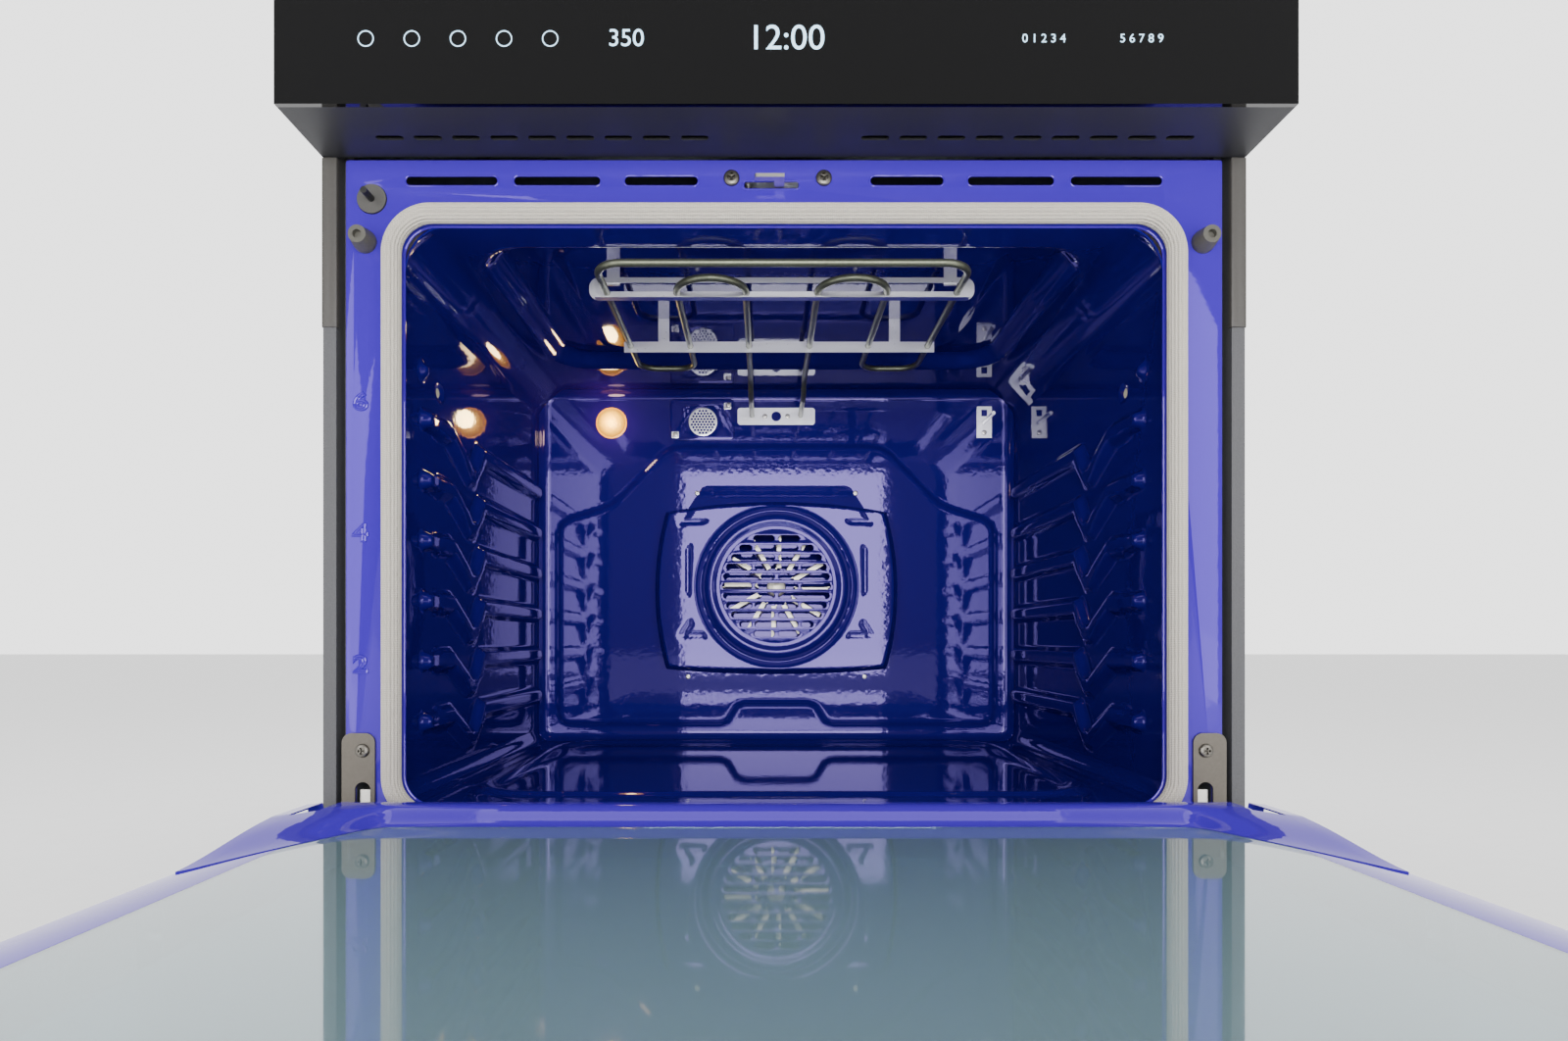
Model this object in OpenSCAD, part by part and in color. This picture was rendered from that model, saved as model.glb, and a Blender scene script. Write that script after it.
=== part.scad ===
// Built-in single wall oven with a drop-down door, shown with the door open.
// Frame: X across the oven, Y into the oven from the plane of the front frame, Z up from the base.

/* [Overall] */
// Width over the two side trims
overall_w = 755.7; // [740:0.1:780]
// Width of the chassis that slides into the cabinet
body_w = 718; // [708:0.5:726]
// Height from the base pan to the top cover
overall_h = 738; // [728:1:790]
// Depth of the chassis behind the front frame
body_d = 590; // [575:1:700]

/* [Cavity] */
// Width of the opening in the front frame
open_w = 621.6; // [560:0.1:625]
// Height of the opening in the front frame
open_h = 473.7; // [440:0.1:475]
// Height of the lower edge of the opening above the base
open_z = 111.3; // [110:0.1:116]
// Corner radius of the opening
open_r = 25; // [15:1:40]
// Distance from the front frame to the back wall
cavity_d = 455; // [430:1:465]
// How far each side wall stands outside the edge of the opening
wall_step = 9.2; // [5:0.1:10]
// Height that the middle of the ceiling is pressed up
recess_h = 15; // [6:1:18]
// Thickness of enamelled sheet steel
sheet = 1.5; // [1:0.1:2]
// Thickness of galvanised casing steel
case_t = 1; // [0.8:0.1:1.5]
// Number of rack levels
rack_levels = 6; // [3:1:6]
// Height between two rack levels
rack_pitch = 53.8; // [50:0.1:56]
// How far a rack guide stands in from the wall
rack_rib = 8; // [4:0.5:9]

/* [Door] */
// Height of the hinge axis above the base
hinge_z = 70; // [66:0.5:74]
// Distance of the hinge axis in front of the front frame
hinge_y = 57; // [54:0.5:60]
// Length of the door from its lower edge to its top edge
door_l = 606; // [590:1:610]
// Height of the door's outer skin above the base when the door is open
skin_z = 58; // [56:0.5:60]
// Thickness of each pane
glass_t = 4; // [3:0.5:5]
// Height of the ridge along the door's lower edge above the inner glass
ridge_h = 12.7; // [8:0.1:13]
// Radius of the handle bar
handle_r = 10; // [8:0.5:11]
// Distance from the door's skin to the centre of the handle bar
handle_reach = 38; // [32:0.5:44]
// Distance between the two handle posts
handle_span = 580; // [420:5:640]

/* [Seal and stops] */
// Width of the woven seal
seal_w = 15.7; // [12:0.1:17]
// How far the seal stands out of the front frame
seal_t = 15.5; // [12:0.1:15.6]
// Length of the rubber door stops
bumper_l = 15; // [10:0.1:15.2]
// Free length of the door switch plunger
plunger_l = 14.8; // [10:0.1:15]
// Travel of the door switch plunger
plunger_travel = 4; // [2:0.5:6]

/* [Fan and heating] */
// Height of the fan axis above the base
fan_z = 319.4; // [300:0.1:330]
// Radius of the fan
fan_r = 74; // [60:1:80]
// Number of fan blades
fan_blades = 12; // [6:1:16]
// Radius of the pressed pot behind the fan cover
pot_r = 110; // [106:1:114]
// Radius of the fan shaft
shaft_r = 4; // [3:0.5:5]
// Radius of the ring element around the fan
ring_r = 94; // [92:1:98]
// Radius of the tube of the grill element and the floor element
tube_r = 3.25; // [2.5:0.05:4]
// Height of the grill element above the base
grill_z = 568; // [560:0.5:572]

/* [Hidden] */
$fn = 48;

// small clearances
gap = 0.5;          // between parts that are laid side by side
run = 0.05;         // radial clearance of a running fit
air = 0.3;          // between the closed door and what it meets
eps = 0.01;         // overshoot of a cut

// derived places
half_w = overall_w / 2;
half_b = body_w / 2;
half_open = open_w / 2;
wall_x = half_open + wall_step;
roof_z = open_z + open_h;
frame_top = roof_z + 55;
frame_bottom = 34;
collar_l = 10;
glass_z = open_z;
crest_z = glass_z + ridge_h;
door_back = hinge_y - 40;
door_front = door_back + door_l;
door_sill = 79;
glass_half = half_open + seal_w + 4;
trim_face = 11;
trim_in = half_w - trim_face;
cap_t = 1;
trim_depth = 16;
slot_z = roof_z + 38;
slot_h = 8.7;
vent_slots = [[70, 131.3], [149.9, 221.9], [234.2, 310.5]];
latch_x0 = -33.4;
latch_x1 = 12.6;
latch_z = roof_z + 34.5;
latch_h = 7;
latch_pivot = [-30, 24];
hook_r = 3;
hook_out = 16;
switch_x = -337.7;
switch_z = roof_z + 23;
switch_r = 11.9;
switch_stem_r = 8;
switch_stem_l = 24;
plunger_r = 2.75;
bumper_x = 343;
bumper_z = roof_z - 12.2;
hinge_x = 344.3;
hinge_slot_w = 12.8;
hinge_slot_top = 130.8;
hinge_slot_bottom = 58;
arm_t = 8;
pin_r = 4;
channel_in = arm_t / 2 + 2.4;
channel_out = channel_in + 1.6;
plate_in = 334.4;
plate_out = 361.5;
plate_top = 170.8;
plate_t = 2;
plate_screw = [344.5, 156.5];
cover_rise = 20;
pot_depth = 24;
screw_r = 2;
blanket_out = 12;
duct_z = roof_z + 27;
duct_h = 25;
lamp_at = [-224, roof_z - 42.6];
lamp_r = 21;
bulb_neck_r = 5;
vent_at = [-99.7, roof_z - 41];
probe_at = [282.7, roof_z - 41.5];
plate_at = [0, roof_z - 33.5];
leg_x = 33;
leg_z = plate_at[1] + 1.3;
panel_z = frame_top + 2;
panel_depth = hinge_y + hinge_z - skin_z;
cap_bottom = 503;
toe_y = -18.5;
mount_x = half_w - 5;
mount_z = [50, 700];
mount_r = 2.25;
conduit_r = 11.1;
conduit_at = [205, 689];

// screws in the back wall: X, Z and how far the head's seat stands in front of the wall
cavity_screw_at = [
    [-107, fan_z + 126.6, sheet], [107, fan_z + 126.6, sheet],
    [-119.5, fan_z - 121.4, sheet], [119.5, fan_z - 121.4, sheet],
    [vent_at[0] - 37, vent_at[1] - 17.5, 3], [vent_at[0] + 35, vent_at[1] + 22.5, 3],
    [-15.5, plate_at[1], 1.5], [15.5, plate_at[1], 1.5], [probe_at[0], probe_at[1] - 14, 1.5]
];

// ---------- helpers ----------
// plate in the XZ plane that starts at depth y0
module plate_y(y0, t) { translate([0, y0 + t, 0]) rotate([90, 0, 0]) linear_extrude(t) children(); }
// plate in the YZ plane that starts at x0
module plate_x(x0, t) { translate([x0, 0, 0]) rotate([90, 0, 90]) linear_extrude(t) children(); }
// plate in the XY plane that starts at z0
module plate_z(z0, t) { translate([0, 0, z0]) linear_extrude(t) children(); }
// rectangle from corner a to corner b
module rect(a, b) { translate(a) square(b - a); }
// the same with rounded corners
module round_rect(a, b, r) {
    rect([a[0] + r, a[1]], [b[0] - r, b[1]]);
    rect([a[0], a[1] + r], [b[0], b[1] - r]);
    for (x = [a[0] + r, b[0] - r], y = [a[1] + r, b[1] - r]) translate([x, y]) circle(r);
}
// slot with round ends
module slot(a, b) {
    r = (b[1] - a[1]) / 2;
    round_rect(a, b, min(r, (b[0] - a[0]) / 2) - eps);
}
module both() { children(); mirror([1, 0, 0]) children(); }
module box(a, b) { translate(a) cube(b - a); }
// rod along Y, X or Z
module rod_y(p, r, l) { translate(p) rotate([-90, 0, 0]) cylinder(r = r, h = l); }
module rod_x(p, r, l) { translate(p) rotate([0, 90, 0]) cylinder(r = r, h = l); }
module rod_z(p, r, l) { translate(p) cylinder(r = r, h = l); }
// pan-head screw whose head stands in front of p, with the shank along +Y
module screw_y(p, head = 4.5, l = 6) {
    difference() {
        union() {
            rod_y(p - [0, 2, 0], head, 2);
            rod_y(p - [0, eps, 0], screw_r - 0.2, l);
        }
        for (a = [0, 90]) translate(p - [0, 2 - 0.4, 0]) rotate([0, a, 0]) cube([head, 1.2, 1],
            center = true);
    }
}

// ---------- cavity ----------
// inside outline of the cavity, grown by g
module cavity_2d(g = 0) {
    low_r = 16 + g;
    top_r = 40 + g;
    mid = open_z + open_h / 2;
    round_rect([-wall_x - g, open_z - g], [wall_x + g, mid + 2 * low_r], low_r);
    round_rect([-wall_x - g, mid - 2 * top_r], [wall_x + g, roof_z + g], top_r);
}
module open_2d(g = 0) { round_rect([-half_open - g, open_z - g], [half_open + g, roof_z + g],
    open_r + g); }
module recess_2d(g = 0) { round_rect([-267 - g, 38 - g], [267 + g, cavity_d - 100 + g], 40 + g); }

module hinge_slot_2d() {
    r = hinge_slot_w / 2;
    rect([hinge_x - r, hinge_slot_bottom], [hinge_x + r, hinge_slot_top - r]);
    translate([hinge_x, hinge_slot_top - r]) circle(r);
}

module front_frame() color("mediumblue") {
    plate_y(0, sheet) difference() {
        rect([-half_b, frame_bottom], [half_b, frame_top]);
        open_2d();
        both() for (s = vent_slots) slot([s[0], slot_z - slot_h / 2], [s[1], slot_z + slot_h / 2]);
        slot([latch_x0, latch_z - latch_h / 2], [latch_x1, latch_z + latch_h / 2]);
        both() hinge_slot_2d();
        both() translate(plate_screw) circle(screw_r);
        both() translate([bumper_x, bumper_z]) circle(4);
        translate([switch_x, switch_z]) circle(switch_r + gap);
        for (x = [-43, 32.6]) translate([x, slot_z + 2]) circle(screw_r);
    }
    plate_y(sheet - eps, collar_l) difference() { open_2d(sheet); open_2d(); }
    both() box([half_b - sheet, sheet - eps, frame_bottom], [half_b, 18, frame_top]);
}

// one rack guide in the YZ plane, with the height of its front bump at 0
module rack_2d() {
    up = 8.5;
    low = -11.5;
    dip = 28;
    polygon([[52, up], [124, up], [172, up - dip], [184, up - dip], [202, up], [cavity_d - 29, up],
        [cavity_d - 29, low], [209, low], [190, low - dip], [166, low - dip], [118, low], [52, low]]);
}

module cavity_wrap() color("navy") {
    recess_top = roof_z + recess_h;
    difference() {
        union() {
            plate_y(sheet, cavity_d - sheet) cavity_2d(sheet);
            plate_z(roof_z - 2, recess_h + 2 + sheet) recess_2d(sheet);
        }
        plate_y(0, cavity_d + 1) cavity_2d();
        plate_y(0, sheet + collar_l) open_2d(sheet);
        plate_z(roof_z - 6, recess_h + 6) recess_2d();
    }
    both() for (i = [0 : rack_levels - 1])
        translate([0, 0, open_z + 63.8 + i * rack_pitch])
            plate_x(wall_x - rack_rib, rack_rib + 0.5) rack_2d();
    both() for (z = [486.5]) translate([0, 0, z]) box([wall_x - 5, 50, -5], [wall_x + 0.5, 64, 5]);
}

module cavity_back() color("navy") {
    difference() {
        union() {
            plate_y(cavity_d, sheet) cavity_2d(sheet);
            rod_y([0, cavity_d + eps, fan_z], pot_r + sheet, pot_depth + sheet);
        }
        rod_y([0, cavity_d - 1, fan_z], pot_r, pot_depth + 1);
        rod_y([0, cavity_d, fan_z], shaft_r + 3, pot_depth + 10);
        for (x = [-22, 22]) rod_y([x, cavity_d, fan_z - sqrt(ring_r * ring_r - 22 * 22)],
            5, pot_depth + 10);
        for (s = cavity_screw_at) rod_y([s[0], cavity_d - 1, s[1]], screw_r, 5);
        rod_y([lamp_at[0], cavity_d - 1, lamp_at[1]], lamp_r + 1, 5);
        rod_y([vent_at[0], cavity_d - 1, vent_at[1]], 17, 5);
        rod_y([probe_at[0], cavity_d - 1, probe_at[1]], 4, 5);
        for (x = [-leg_x, leg_x]) rod_y([x, cavity_d - 1, leg_z], 5, 5);
    }
}

module door_gasket() color("wheat") {
    // half-round woven tube: a flat ring on the frame with a rounded crown
    plate_y(-seal_t + seal_w / 2 - 2, seal_t - seal_w / 2 + 2) difference() {
        open_2d(seal_w - 0.5);
        open_2d(-0.5);
    }
    plate_y(-seal_t + 2, seal_w / 2 - 4 + eps) difference() {
        open_2d(seal_w - 2);
        open_2d(1);
    }
    plate_y(-seal_t, 2 + eps) difference() {
        open_2d(seal_w - 4.5);
        open_2d(3.5);
    }
}

module insulation_blanket() color("lightyellow") {
    side = wall_x + sheet;
    back = cavity_d + pot_depth + 16;
    difference() {
        box([-side - blanket_out, 20, open_z - 26], [side + blanket_out, back, duct_z - 1]);
        plate_y(0, cavity_d + sheet + gap) cavity_2d(sheet + gap);
        plate_z(roof_z - 4, recess_h + 4 + sheet + gap) recess_2d(sheet + gap);
        rod_y([0, cavity_d, fan_z], pot_r + sheet + gap, back);
        rod_y([lamp_at[0], cavity_d, lamp_at[1]], lamp_r + 8, back);
        rod_y([vent_at[0], cavity_d, vent_at[1]], 24, back);
        rod_y([probe_at[0], cavity_d, probe_at[1]], 6, back);
        for (x = [-leg_x, leg_x]) rod_y([x, cavity_d, leg_z], 7, back);
        for (x = [-60, 60]) rod_y([x, cavity_d - 40, open_z - 14], 6, back);
        both() box([plate_in - 1.5, 0, 0], [half_b, 72, plate_top + 4]);
        rod_y([switch_x, 0, switch_z], switch_stem_r + 1, sheet + switch_stem_l + 2);
        for (s = cavity_screw_at) rod_y([s[0], cavity_d, s[1]], screw_r + 1, 12);
        // room for the floor element and its pan
        box([-250, 60, open_z - 20], [250, 400, open_z]);
        for (x = [-60, 60]) rod_y([x, 300, open_z - 14], 6, back);
    }
}

// ---------- outer casing ----------
module side_trim() color("dimgray") {
    // Z section: face flange, web, base flange and a tab along the side panel
    difference() {
        union() {
            box([trim_in, 0, 0], [half_w, sheet, overall_h]);
            box([trim_in, sheet - eps, 0], [trim_in + sheet, trim_depth, overall_h]);
            box([half_b + gap, trim_depth - sheet, 0], [trim_in + eps, trim_depth, overall_h]);
            box([half_b + gap, trim_depth - eps, 0], [half_b + gap + sheet, trim_depth + 30, overall_h]);
        }
        for (z = mount_z) rod_y([mount_x, -2, z], mount_r, 8);
        for (z = [120, 370, 620]) rod_x([half_b, trim_depth + 18, z], screw_r, 8);
    }
}
module side_trim_left() mirror([1, 0, 0]) side_trim();
module side_trim_right() side_trim();

module trim_caps() color("gray") both() difference() {
    box([trim_in - cap_t, -cap_t - gap, cap_bottom], [half_w + cap_t, trim_depth, panel_z - gap]);
    box([trim_in, -gap, cap_bottom - 1], [half_w + eps, trim_depth + 1, panel_z]);
    box([trim_in - 2, 4, cap_bottom - 1], [trim_in + 1, trim_depth + 1, panel_z]);
}

module side_panel() color("silver") difference() {
    union() {
        box([half_b - case_t, 20, case_t], [half_b, body_d - case_t, overall_h - case_t]);
        box([half_b - 16, body_d - 2 * case_t, case_t + gap],
            [half_b, body_d - case_t, overall_h - case_t]);
    }
    for (z = [120, 370, 620]) rod_x([half_b - 4, trim_depth + 18, z], screw_r, 8);
    for (z = [100, 370, 640]) rod_y([half_b - 9, body_d - 5, z], screw_r, 8);
    for (y = [140, 300, 460], z = [30, 37]) box([half_b - 3, y, z], [half_b + 1, y + 60, z + 3]);
}
module side_panel_left() mirror([1, 0, 0]) side_panel();
module side_panel_right() side_panel();

module base_pan() color("silver") difference() {
    union() {
        box([-half_b + case_t + gap, toe_y, 0], [half_b - case_t - gap, body_d - case_t, case_t]);
        // upturned toe behind the bottom trim, front flange and side flanges
        box([-half_b + case_t + gap, toe_y, 0], [half_b - case_t - gap, toe_y + case_t, 7]);
        box([-half_b + case_t + gap, 20, 0], [half_b - case_t - gap, 20 + case_t, 26]);
        both() box([half_b - 2 * case_t - gap, 20, 0], [half_b - case_t - gap, body_d - 3 * case_t, 24]);
        // runners the oven slides and rests on
        both() box([half_b - 60, 40, 0], [half_b - 30, body_d - 30, 6]);
    }
    both() for (x = [40 : 40 : 240], y = [180, 300, 420]) rod_z([x, y, -1], 6, 4);
}

module back_cover() color("silver") difference() {
    box([-half_b, body_d - case_t, 0], [half_b, body_d, overall_h]);
    // cooling louvres in two blocks
    both() for (x = [60 : 20 : 240]) plate_y(body_d - 2, 4) slot([x, 520], [x + 6, 620]);
    both() for (x = [60 : 20 : 240]) plate_y(body_d - 2, 4) slot([x, 40], [x + 6, 80]);
    both() for (z = [100, 370, 640]) rod_y([half_b - 9, body_d - 5, z], screw_r, 8);
    // hole for the supply conduit, behind the junction box
    rod_y([conduit_at[0], body_d - 5, conduit_at[1]], conduit_r, 8);
}

module top_cover() color("silver") difference() {
    union() {
        box([-half_b, 0, overall_h - case_t], [half_b, body_d - case_t, overall_h]);
        box([-half_b + 20, 0, overall_h - 20], [half_b - 20, case_t, overall_h]);
    }
    both() for (x = [70 : 24 : 270]) plate_z(overall_h - 3, 5) slot([x, 470], [x + 8, 540]);
    both() for (y = [80, 300, 520]) rod_z([half_b - 12, y, overall_h - 5], screw_r, 8);
}

module bottom_trim() color("dimgray") difference() {
    box([-half_w, toe_y - sheet, 1], [half_w, toe_y - eps, 22]);
    both() for (x = [16 : 40 : 330]) plate_y(toe_y - 4, 6) slot([x, 8], [x + 28, 14]);
}

// ---------- control panel ----------
module control_housing() color("dimgray") difference() {
    box([-half_w, -panel_depth + 4, panel_z], [half_w, -0.5, overall_h]);
    box([-half_w + 2, -panel_depth + 3, panel_z + 2], [half_w - 2, -2.5, overall_h - 2]);
    // clearance for the door hook's housing and the wiring
    for (x = [-200, 0, 200]) plate_y(-4, 6) slot([x - 30, 690], [x + 30, 706]);
    both() for (x = [60 : 30 : 300]) plate_z(panel_z - 1, 4) slot([x, -30], [x + 22, -24]);
}

module control_glass() color("black")
    box([-half_w, -panel_depth, panel_z], [half_w, -panel_depth + 4 - eps, overall_h]);

module display_module() color("darkslategray") {
    box([-92, -panel_depth + 4.2, panel_z + 26], [92, -panel_depth + 12, panel_z + 76]);
    box([-80, -panel_depth + 12 - eps, panel_z + 32], [80, -panel_depth + 14, panel_z + 70]);
}

module control_board() color("darkgreen") {
    box([-170, -panel_depth + 18, panel_z + 20], [170, -panel_depth + 19.6, panel_z + 82]);
    for (x = [-150 : 50 : 150])
        box([x - 12, -panel_depth + 19.5, panel_z + 34], [x + 12, -panel_depth + 28, panel_z + 54]);
}

// ---------- heating elements ----------
// quarter bend: centre p, from angle a0 over sweep a in the XY plane
module bend(p, r, a0, a) {
    translate(p) rotate([0, 0, a0]) rotate_extrude(angle = a) translate([r, 0]) circle(tube_r, $fn = 24);
}

// quarter bend in the YZ plane
module bend_v(p, r, a0, a) {
    translate(p) rotate([90, 0, 90]) rotate([0, 0, a0]) rotate_extrude(angle = a)
        translate([r, 0]) circle(tube_r, $fn = 24);
}
grill_bar_y = 27;
grill_corner = 24;
grill_legs = [33, 97, 162];
module grill_half() {
    in_x = grill_legs[0];
    mid_x = grill_legs[1];
    out_x = grill_legs[2];
    rear_y = 305;
    loop_y = 88;
    loop_r = (mid_x - in_x) / 2;
    rear_r = 22;
    drop = grill_z - leg_z;
    drop_r = 30;
    drop_a = acos(1 - drop / 2 / drop_r);
    drop_y = 340;
    drop_l = 2 * drop_r * sin(drop_a);
    // front corner and outer leg
    bend([out_x - grill_corner, grill_bar_y + grill_corner, grill_z], grill_corner, -90, 90);
    rod_y([out_x, grill_bar_y + grill_corner, grill_z],
        tube_r, rear_y - rear_r - grill_bar_y - grill_corner);
    // squarish rear loop
    bend([out_x - rear_r, rear_y - rear_r, grill_z], rear_r, 0, 90);
    rod_x([mid_x + rear_r, rear_y, grill_z], tube_r, out_x - mid_x - 2 * rear_r);
    bend([mid_x + rear_r, rear_y - rear_r, grill_z], rear_r, 90, 90);
    rod_y([mid_x, loop_y, grill_z], tube_r, rear_y - rear_r - loop_y);
    // round front loop between the middle and the inner leg
    bend([mid_x - loop_r, loop_y, grill_z], loop_r, 180, 180);
    // inner leg, stepping down to the terminal plate
    rod_y([in_x, loop_y, grill_z], tube_r, drop_y - loop_y);
    bend_v([in_x, drop_y, grill_z - drop_r], drop_r, 90 - drop_a, drop_a);
    bend_v([in_x, drop_y + drop_l, leg_z + drop_r], drop_r, 270 - drop_a, drop_a);
    rod_y([in_x, drop_y + drop_l, leg_z], tube_r, cavity_d + 30 - drop_y - drop_l);
}
module grill_element() color("darkolivegreen") {
    bar = grill_legs[2] - grill_corner;
    rod_x([-bar, grill_bar_y, grill_z], tube_r, 2 * bar);
    both() grill_half();
}

module grill_bracket_front() color("gainsboro") {
    y = 88;
    w = 178;
    difference() {
        union() {
            plate_y(y, 1.2) difference() {
                round_rect([-w, 561], [w, 582], 9);
                slot([-w + 12, 569], [w - 12, 577]);
            }
            plate_z(561, 1.2) rect([-w + 6, y - 7], [w - 6, y]);
        }
        both() for (x = grill_legs) rod_y([x, y - 10, grill_z], tube_r + 0.2, 14);
    }
    // straps up to the pressed ceiling
    both() box([150, y + 1.2 - eps, 575], [162, y + 2.4, roof_z + recess_h - eps]);
}

module grill_bracket_rear() color("gainsboro") {
    y = 228;
    w = 169;
    difference() {
        plate_y(y, 1.2) rect([-w, 561], [w, 572.5]);
        both() for (x = grill_legs) rod_y([x, y - 10, grill_z], tube_r + 0.2, 14);
    }
    both() box([120, y + 1.2 - eps, 566], [132, y + 2.4, roof_z + recess_h - eps]);
}

module element_plate() color("gainsboro") difference() {
    plate_y(cavity_d - 1.5, 1.5 - eps) round_rect([-52.5, plate_at[1] - 11.5],
        [52.5, plate_at[1] + 11.5], 4);
    for (x = [-leg_x, leg_x]) rod_y([x, cavity_d - 5, leg_z], tube_r + 0.2, 10);
    rod_y([0, cavity_d - 5, plate_at[1]], 6.7, 10);
    for (x = [-15.5, 15.5]) rod_y([x, cavity_d - 5, plate_at[1]], screw_r, 10);
}

module floor_element() color("darkolivegreen") {
    z = open_z - 14;
    w = 210;
    r = 40;
    y0 = 100;
    y1 = 360;
    rod_x([-w + r, y0, z], tube_r, 2 * (w - r));
    both() {
        bend([w - r, y0 + r, z], r, -90, 90);
        rod_y([w, y0 + r - eps, z], tube_r, y1 - y0 - 2 * r + 2 * eps);
        bend([w - r, y1 - r, z], r, 0, 90);
        rod_x([60 + 20 - eps, y1, z], tube_r, w - r - 80 + 2 * eps);
        bend([80, y1 + 20, z], 20, 180, 90);
        rod_y([60, y1 + 20 - eps, z], tube_r, cavity_d + 40 - y1 - 20);
    }
}

// ---------- fan ----------
// barrel-shaped outline of the fan cover, grown by g
module cover_2d(g = 0) {
    intersection() {
        translate([-223, fan_z - 5]) circle(389 + g, $fn = 180);
        translate([223, fan_z - 5]) circle(389 + g, $fn = 180);
        translate([0, fan_z + 117.6 - 748]) circle(748 + g, $fn = 180);
        translate([0, fan_z - 120.4 + 1429]) circle(1429 + g, $fn = 180);
    }
}
// eleven rows of slots inside the round grille
module grille_2d() {
    pitch = 12.7;
    h = 8.7;
    intersection() {
        circle(73);
        for (i = [-5 : 5]) translate([0, i * pitch]) {
            if (abs(i) % 2 == 1) both() slot([2.5, -h / 2], [69.5, h / 2]);
            else {
                slot([-29, -h / 2], [29, h / 2]);
                both() slot([34, -h / 2], [69.5, h / 2]);
            }
        }
    }
}
module fan_cover() color("navy") difference() {
    union() {
        plate_y(cavity_d - cover_rise, cover_rise - eps) cover_2d();
        plate_y(cavity_d - sheet, sheet - eps) {
            cover_2d(9);
            polygon([[-125, fan_z + 90], [-99, fan_z + 135.6], [99, fan_z + 135.6], [125, fan_z + 90]]);
        }
    }
    plate_y(cavity_d - cover_rise + sheet, cover_rise) cover_2d(-sheet);
    translate([0, 0, fan_z]) plate_y(cavity_d - cover_rise - 1, 5) grille_2d();
    for (x = [-107, 107]) rod_y([x, cavity_d - 5, fan_z + 126.6], screw_r, 8);
    for (x = [-119.5, 119.5]) rod_y([x, cavity_d - 5, fan_z - 121.4], screw_r, 8);
}

module ring_element() color("beige") {
    translate([0, cavity_d + 8, fan_z]) rotate([90, 0, 0]) rotate_extrude() translate([ring_r, 0])
        circle(3.5, $fn = 24);
    for (x = [-22, 22]) rod_y([x, cavity_d + 8, fan_z - sqrt(ring_r * ring_r - 22 * 22)],
        3, pot_depth + 22);
}

module fan_motor() color("slategray") difference() {
    union() {
        rod_y([0, cavity_d + pot_depth + 20, fan_z], 36, 40);
        rod_y([0, cavity_d + pot_depth + 12, fan_z], 14, 8 + eps);
        both() box([30, cavity_d + pot_depth + 20, fan_z - 8],
            [50, cavity_d + pot_depth + 23, fan_z + 8]);
    }
    rod_y([0, cavity_d + pot_depth + 11, fan_z], shaft_r + run, 30);
}

module fan_motor_bracket() color("silver") difference() {
    y = cavity_d + pot_depth + sheet;
    union() {
        plate_y(y + 14.5, 2) round_rect([-70, fan_z - 30], [70, fan_z + 30], 6);
        both() rod_y([60, y + eps, fan_z], 6, 15);
    }
    rod_y([0, y, fan_z], 15, 30);
}

module convection_fan() color("ivory") {
    y0 = cavity_d - 12;
    depth = 24;
    // back disc, blades and front hub
    rod_y([0, y0 + depth, fan_z], fan_r, 1.2);
    for (i = [0 : fan_blades - 1])
        translate([0, y0, fan_z]) rotate([0, i * 360 / fan_blades, 0])
            box([22, 0, -0.6], [fan_r - 1, depth + 0.5, 0.6]);
    rod_y([0, y0 + 14, fan_z], 12, depth - 14 + 0.5);
    rod_y([0, y0 + 8, fan_z], shaft_r, cavity_d + pot_depth + 36 - y0 - 8);
}

// ---------- lamp, vent and probe ----------
module lamp_lens() color("gold") {
    rod_y([lamp_at[0], cavity_d - 9, lamp_at[1]], lamp_r - 3, 6);
    rod_y([lamp_at[0], cavity_d - 3, lamp_at[1]], lamp_r, 3 - eps);
}
module lamp_bulb() color("lightyellow") {
    translate([lamp_at[0], cavity_d + 16, lamp_at[1]]) sphere(8);
    rod_y([lamp_at[0], cavity_d + 16, lamp_at[1]], bulb_neck_r, 20);
}
module lamp_housing() color("silver") difference() {
    rod_y([lamp_at[0], cavity_d + sheet, lamp_at[1]], lamp_r + 4, 44);
    rod_y([lamp_at[0], cavity_d, lamp_at[1]], lamp_r + 2.5, 34);
    rod_y([lamp_at[0], cavity_d, lamp_at[1]], bulb_neck_r + run, 38);
}
module vent_cover() color("navy") difference() {
    plate_y(cavity_d - 3, 3 - eps)
        round_rect([vent_at[0] - 44.5, vent_at[1] - 25], [vent_at[0] + 42.5, vent_at[1] + 31], 5);
    rod_y([vent_at[0], cavity_d - 5, vent_at[1]], 19.8, 8);
    for (s = [-1, 1]) rod_y([vent_at[0] - 1 + s * 36, cavity_d - 5, vent_at[1] + 2.5 + s * 20],
        screw_r, 8);
}
module vent_screen() color("silver") difference() {
    rod_y([vent_at[0], cavity_d - 2.2, vent_at[1]], 19.6, 1.2);
    for (i = [-4 : 4], j = [-4 : 4])
        if (norm([i * 4 + (j % 2) * 2, j * 3.5]) < 16.5)
            rod_y([vent_at[0] + i * 4 + (j % 2) * 2, cavity_d - 4, vent_at[1] + j * 3.5],
                1.4, 5, $fn = 16);
}
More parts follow.
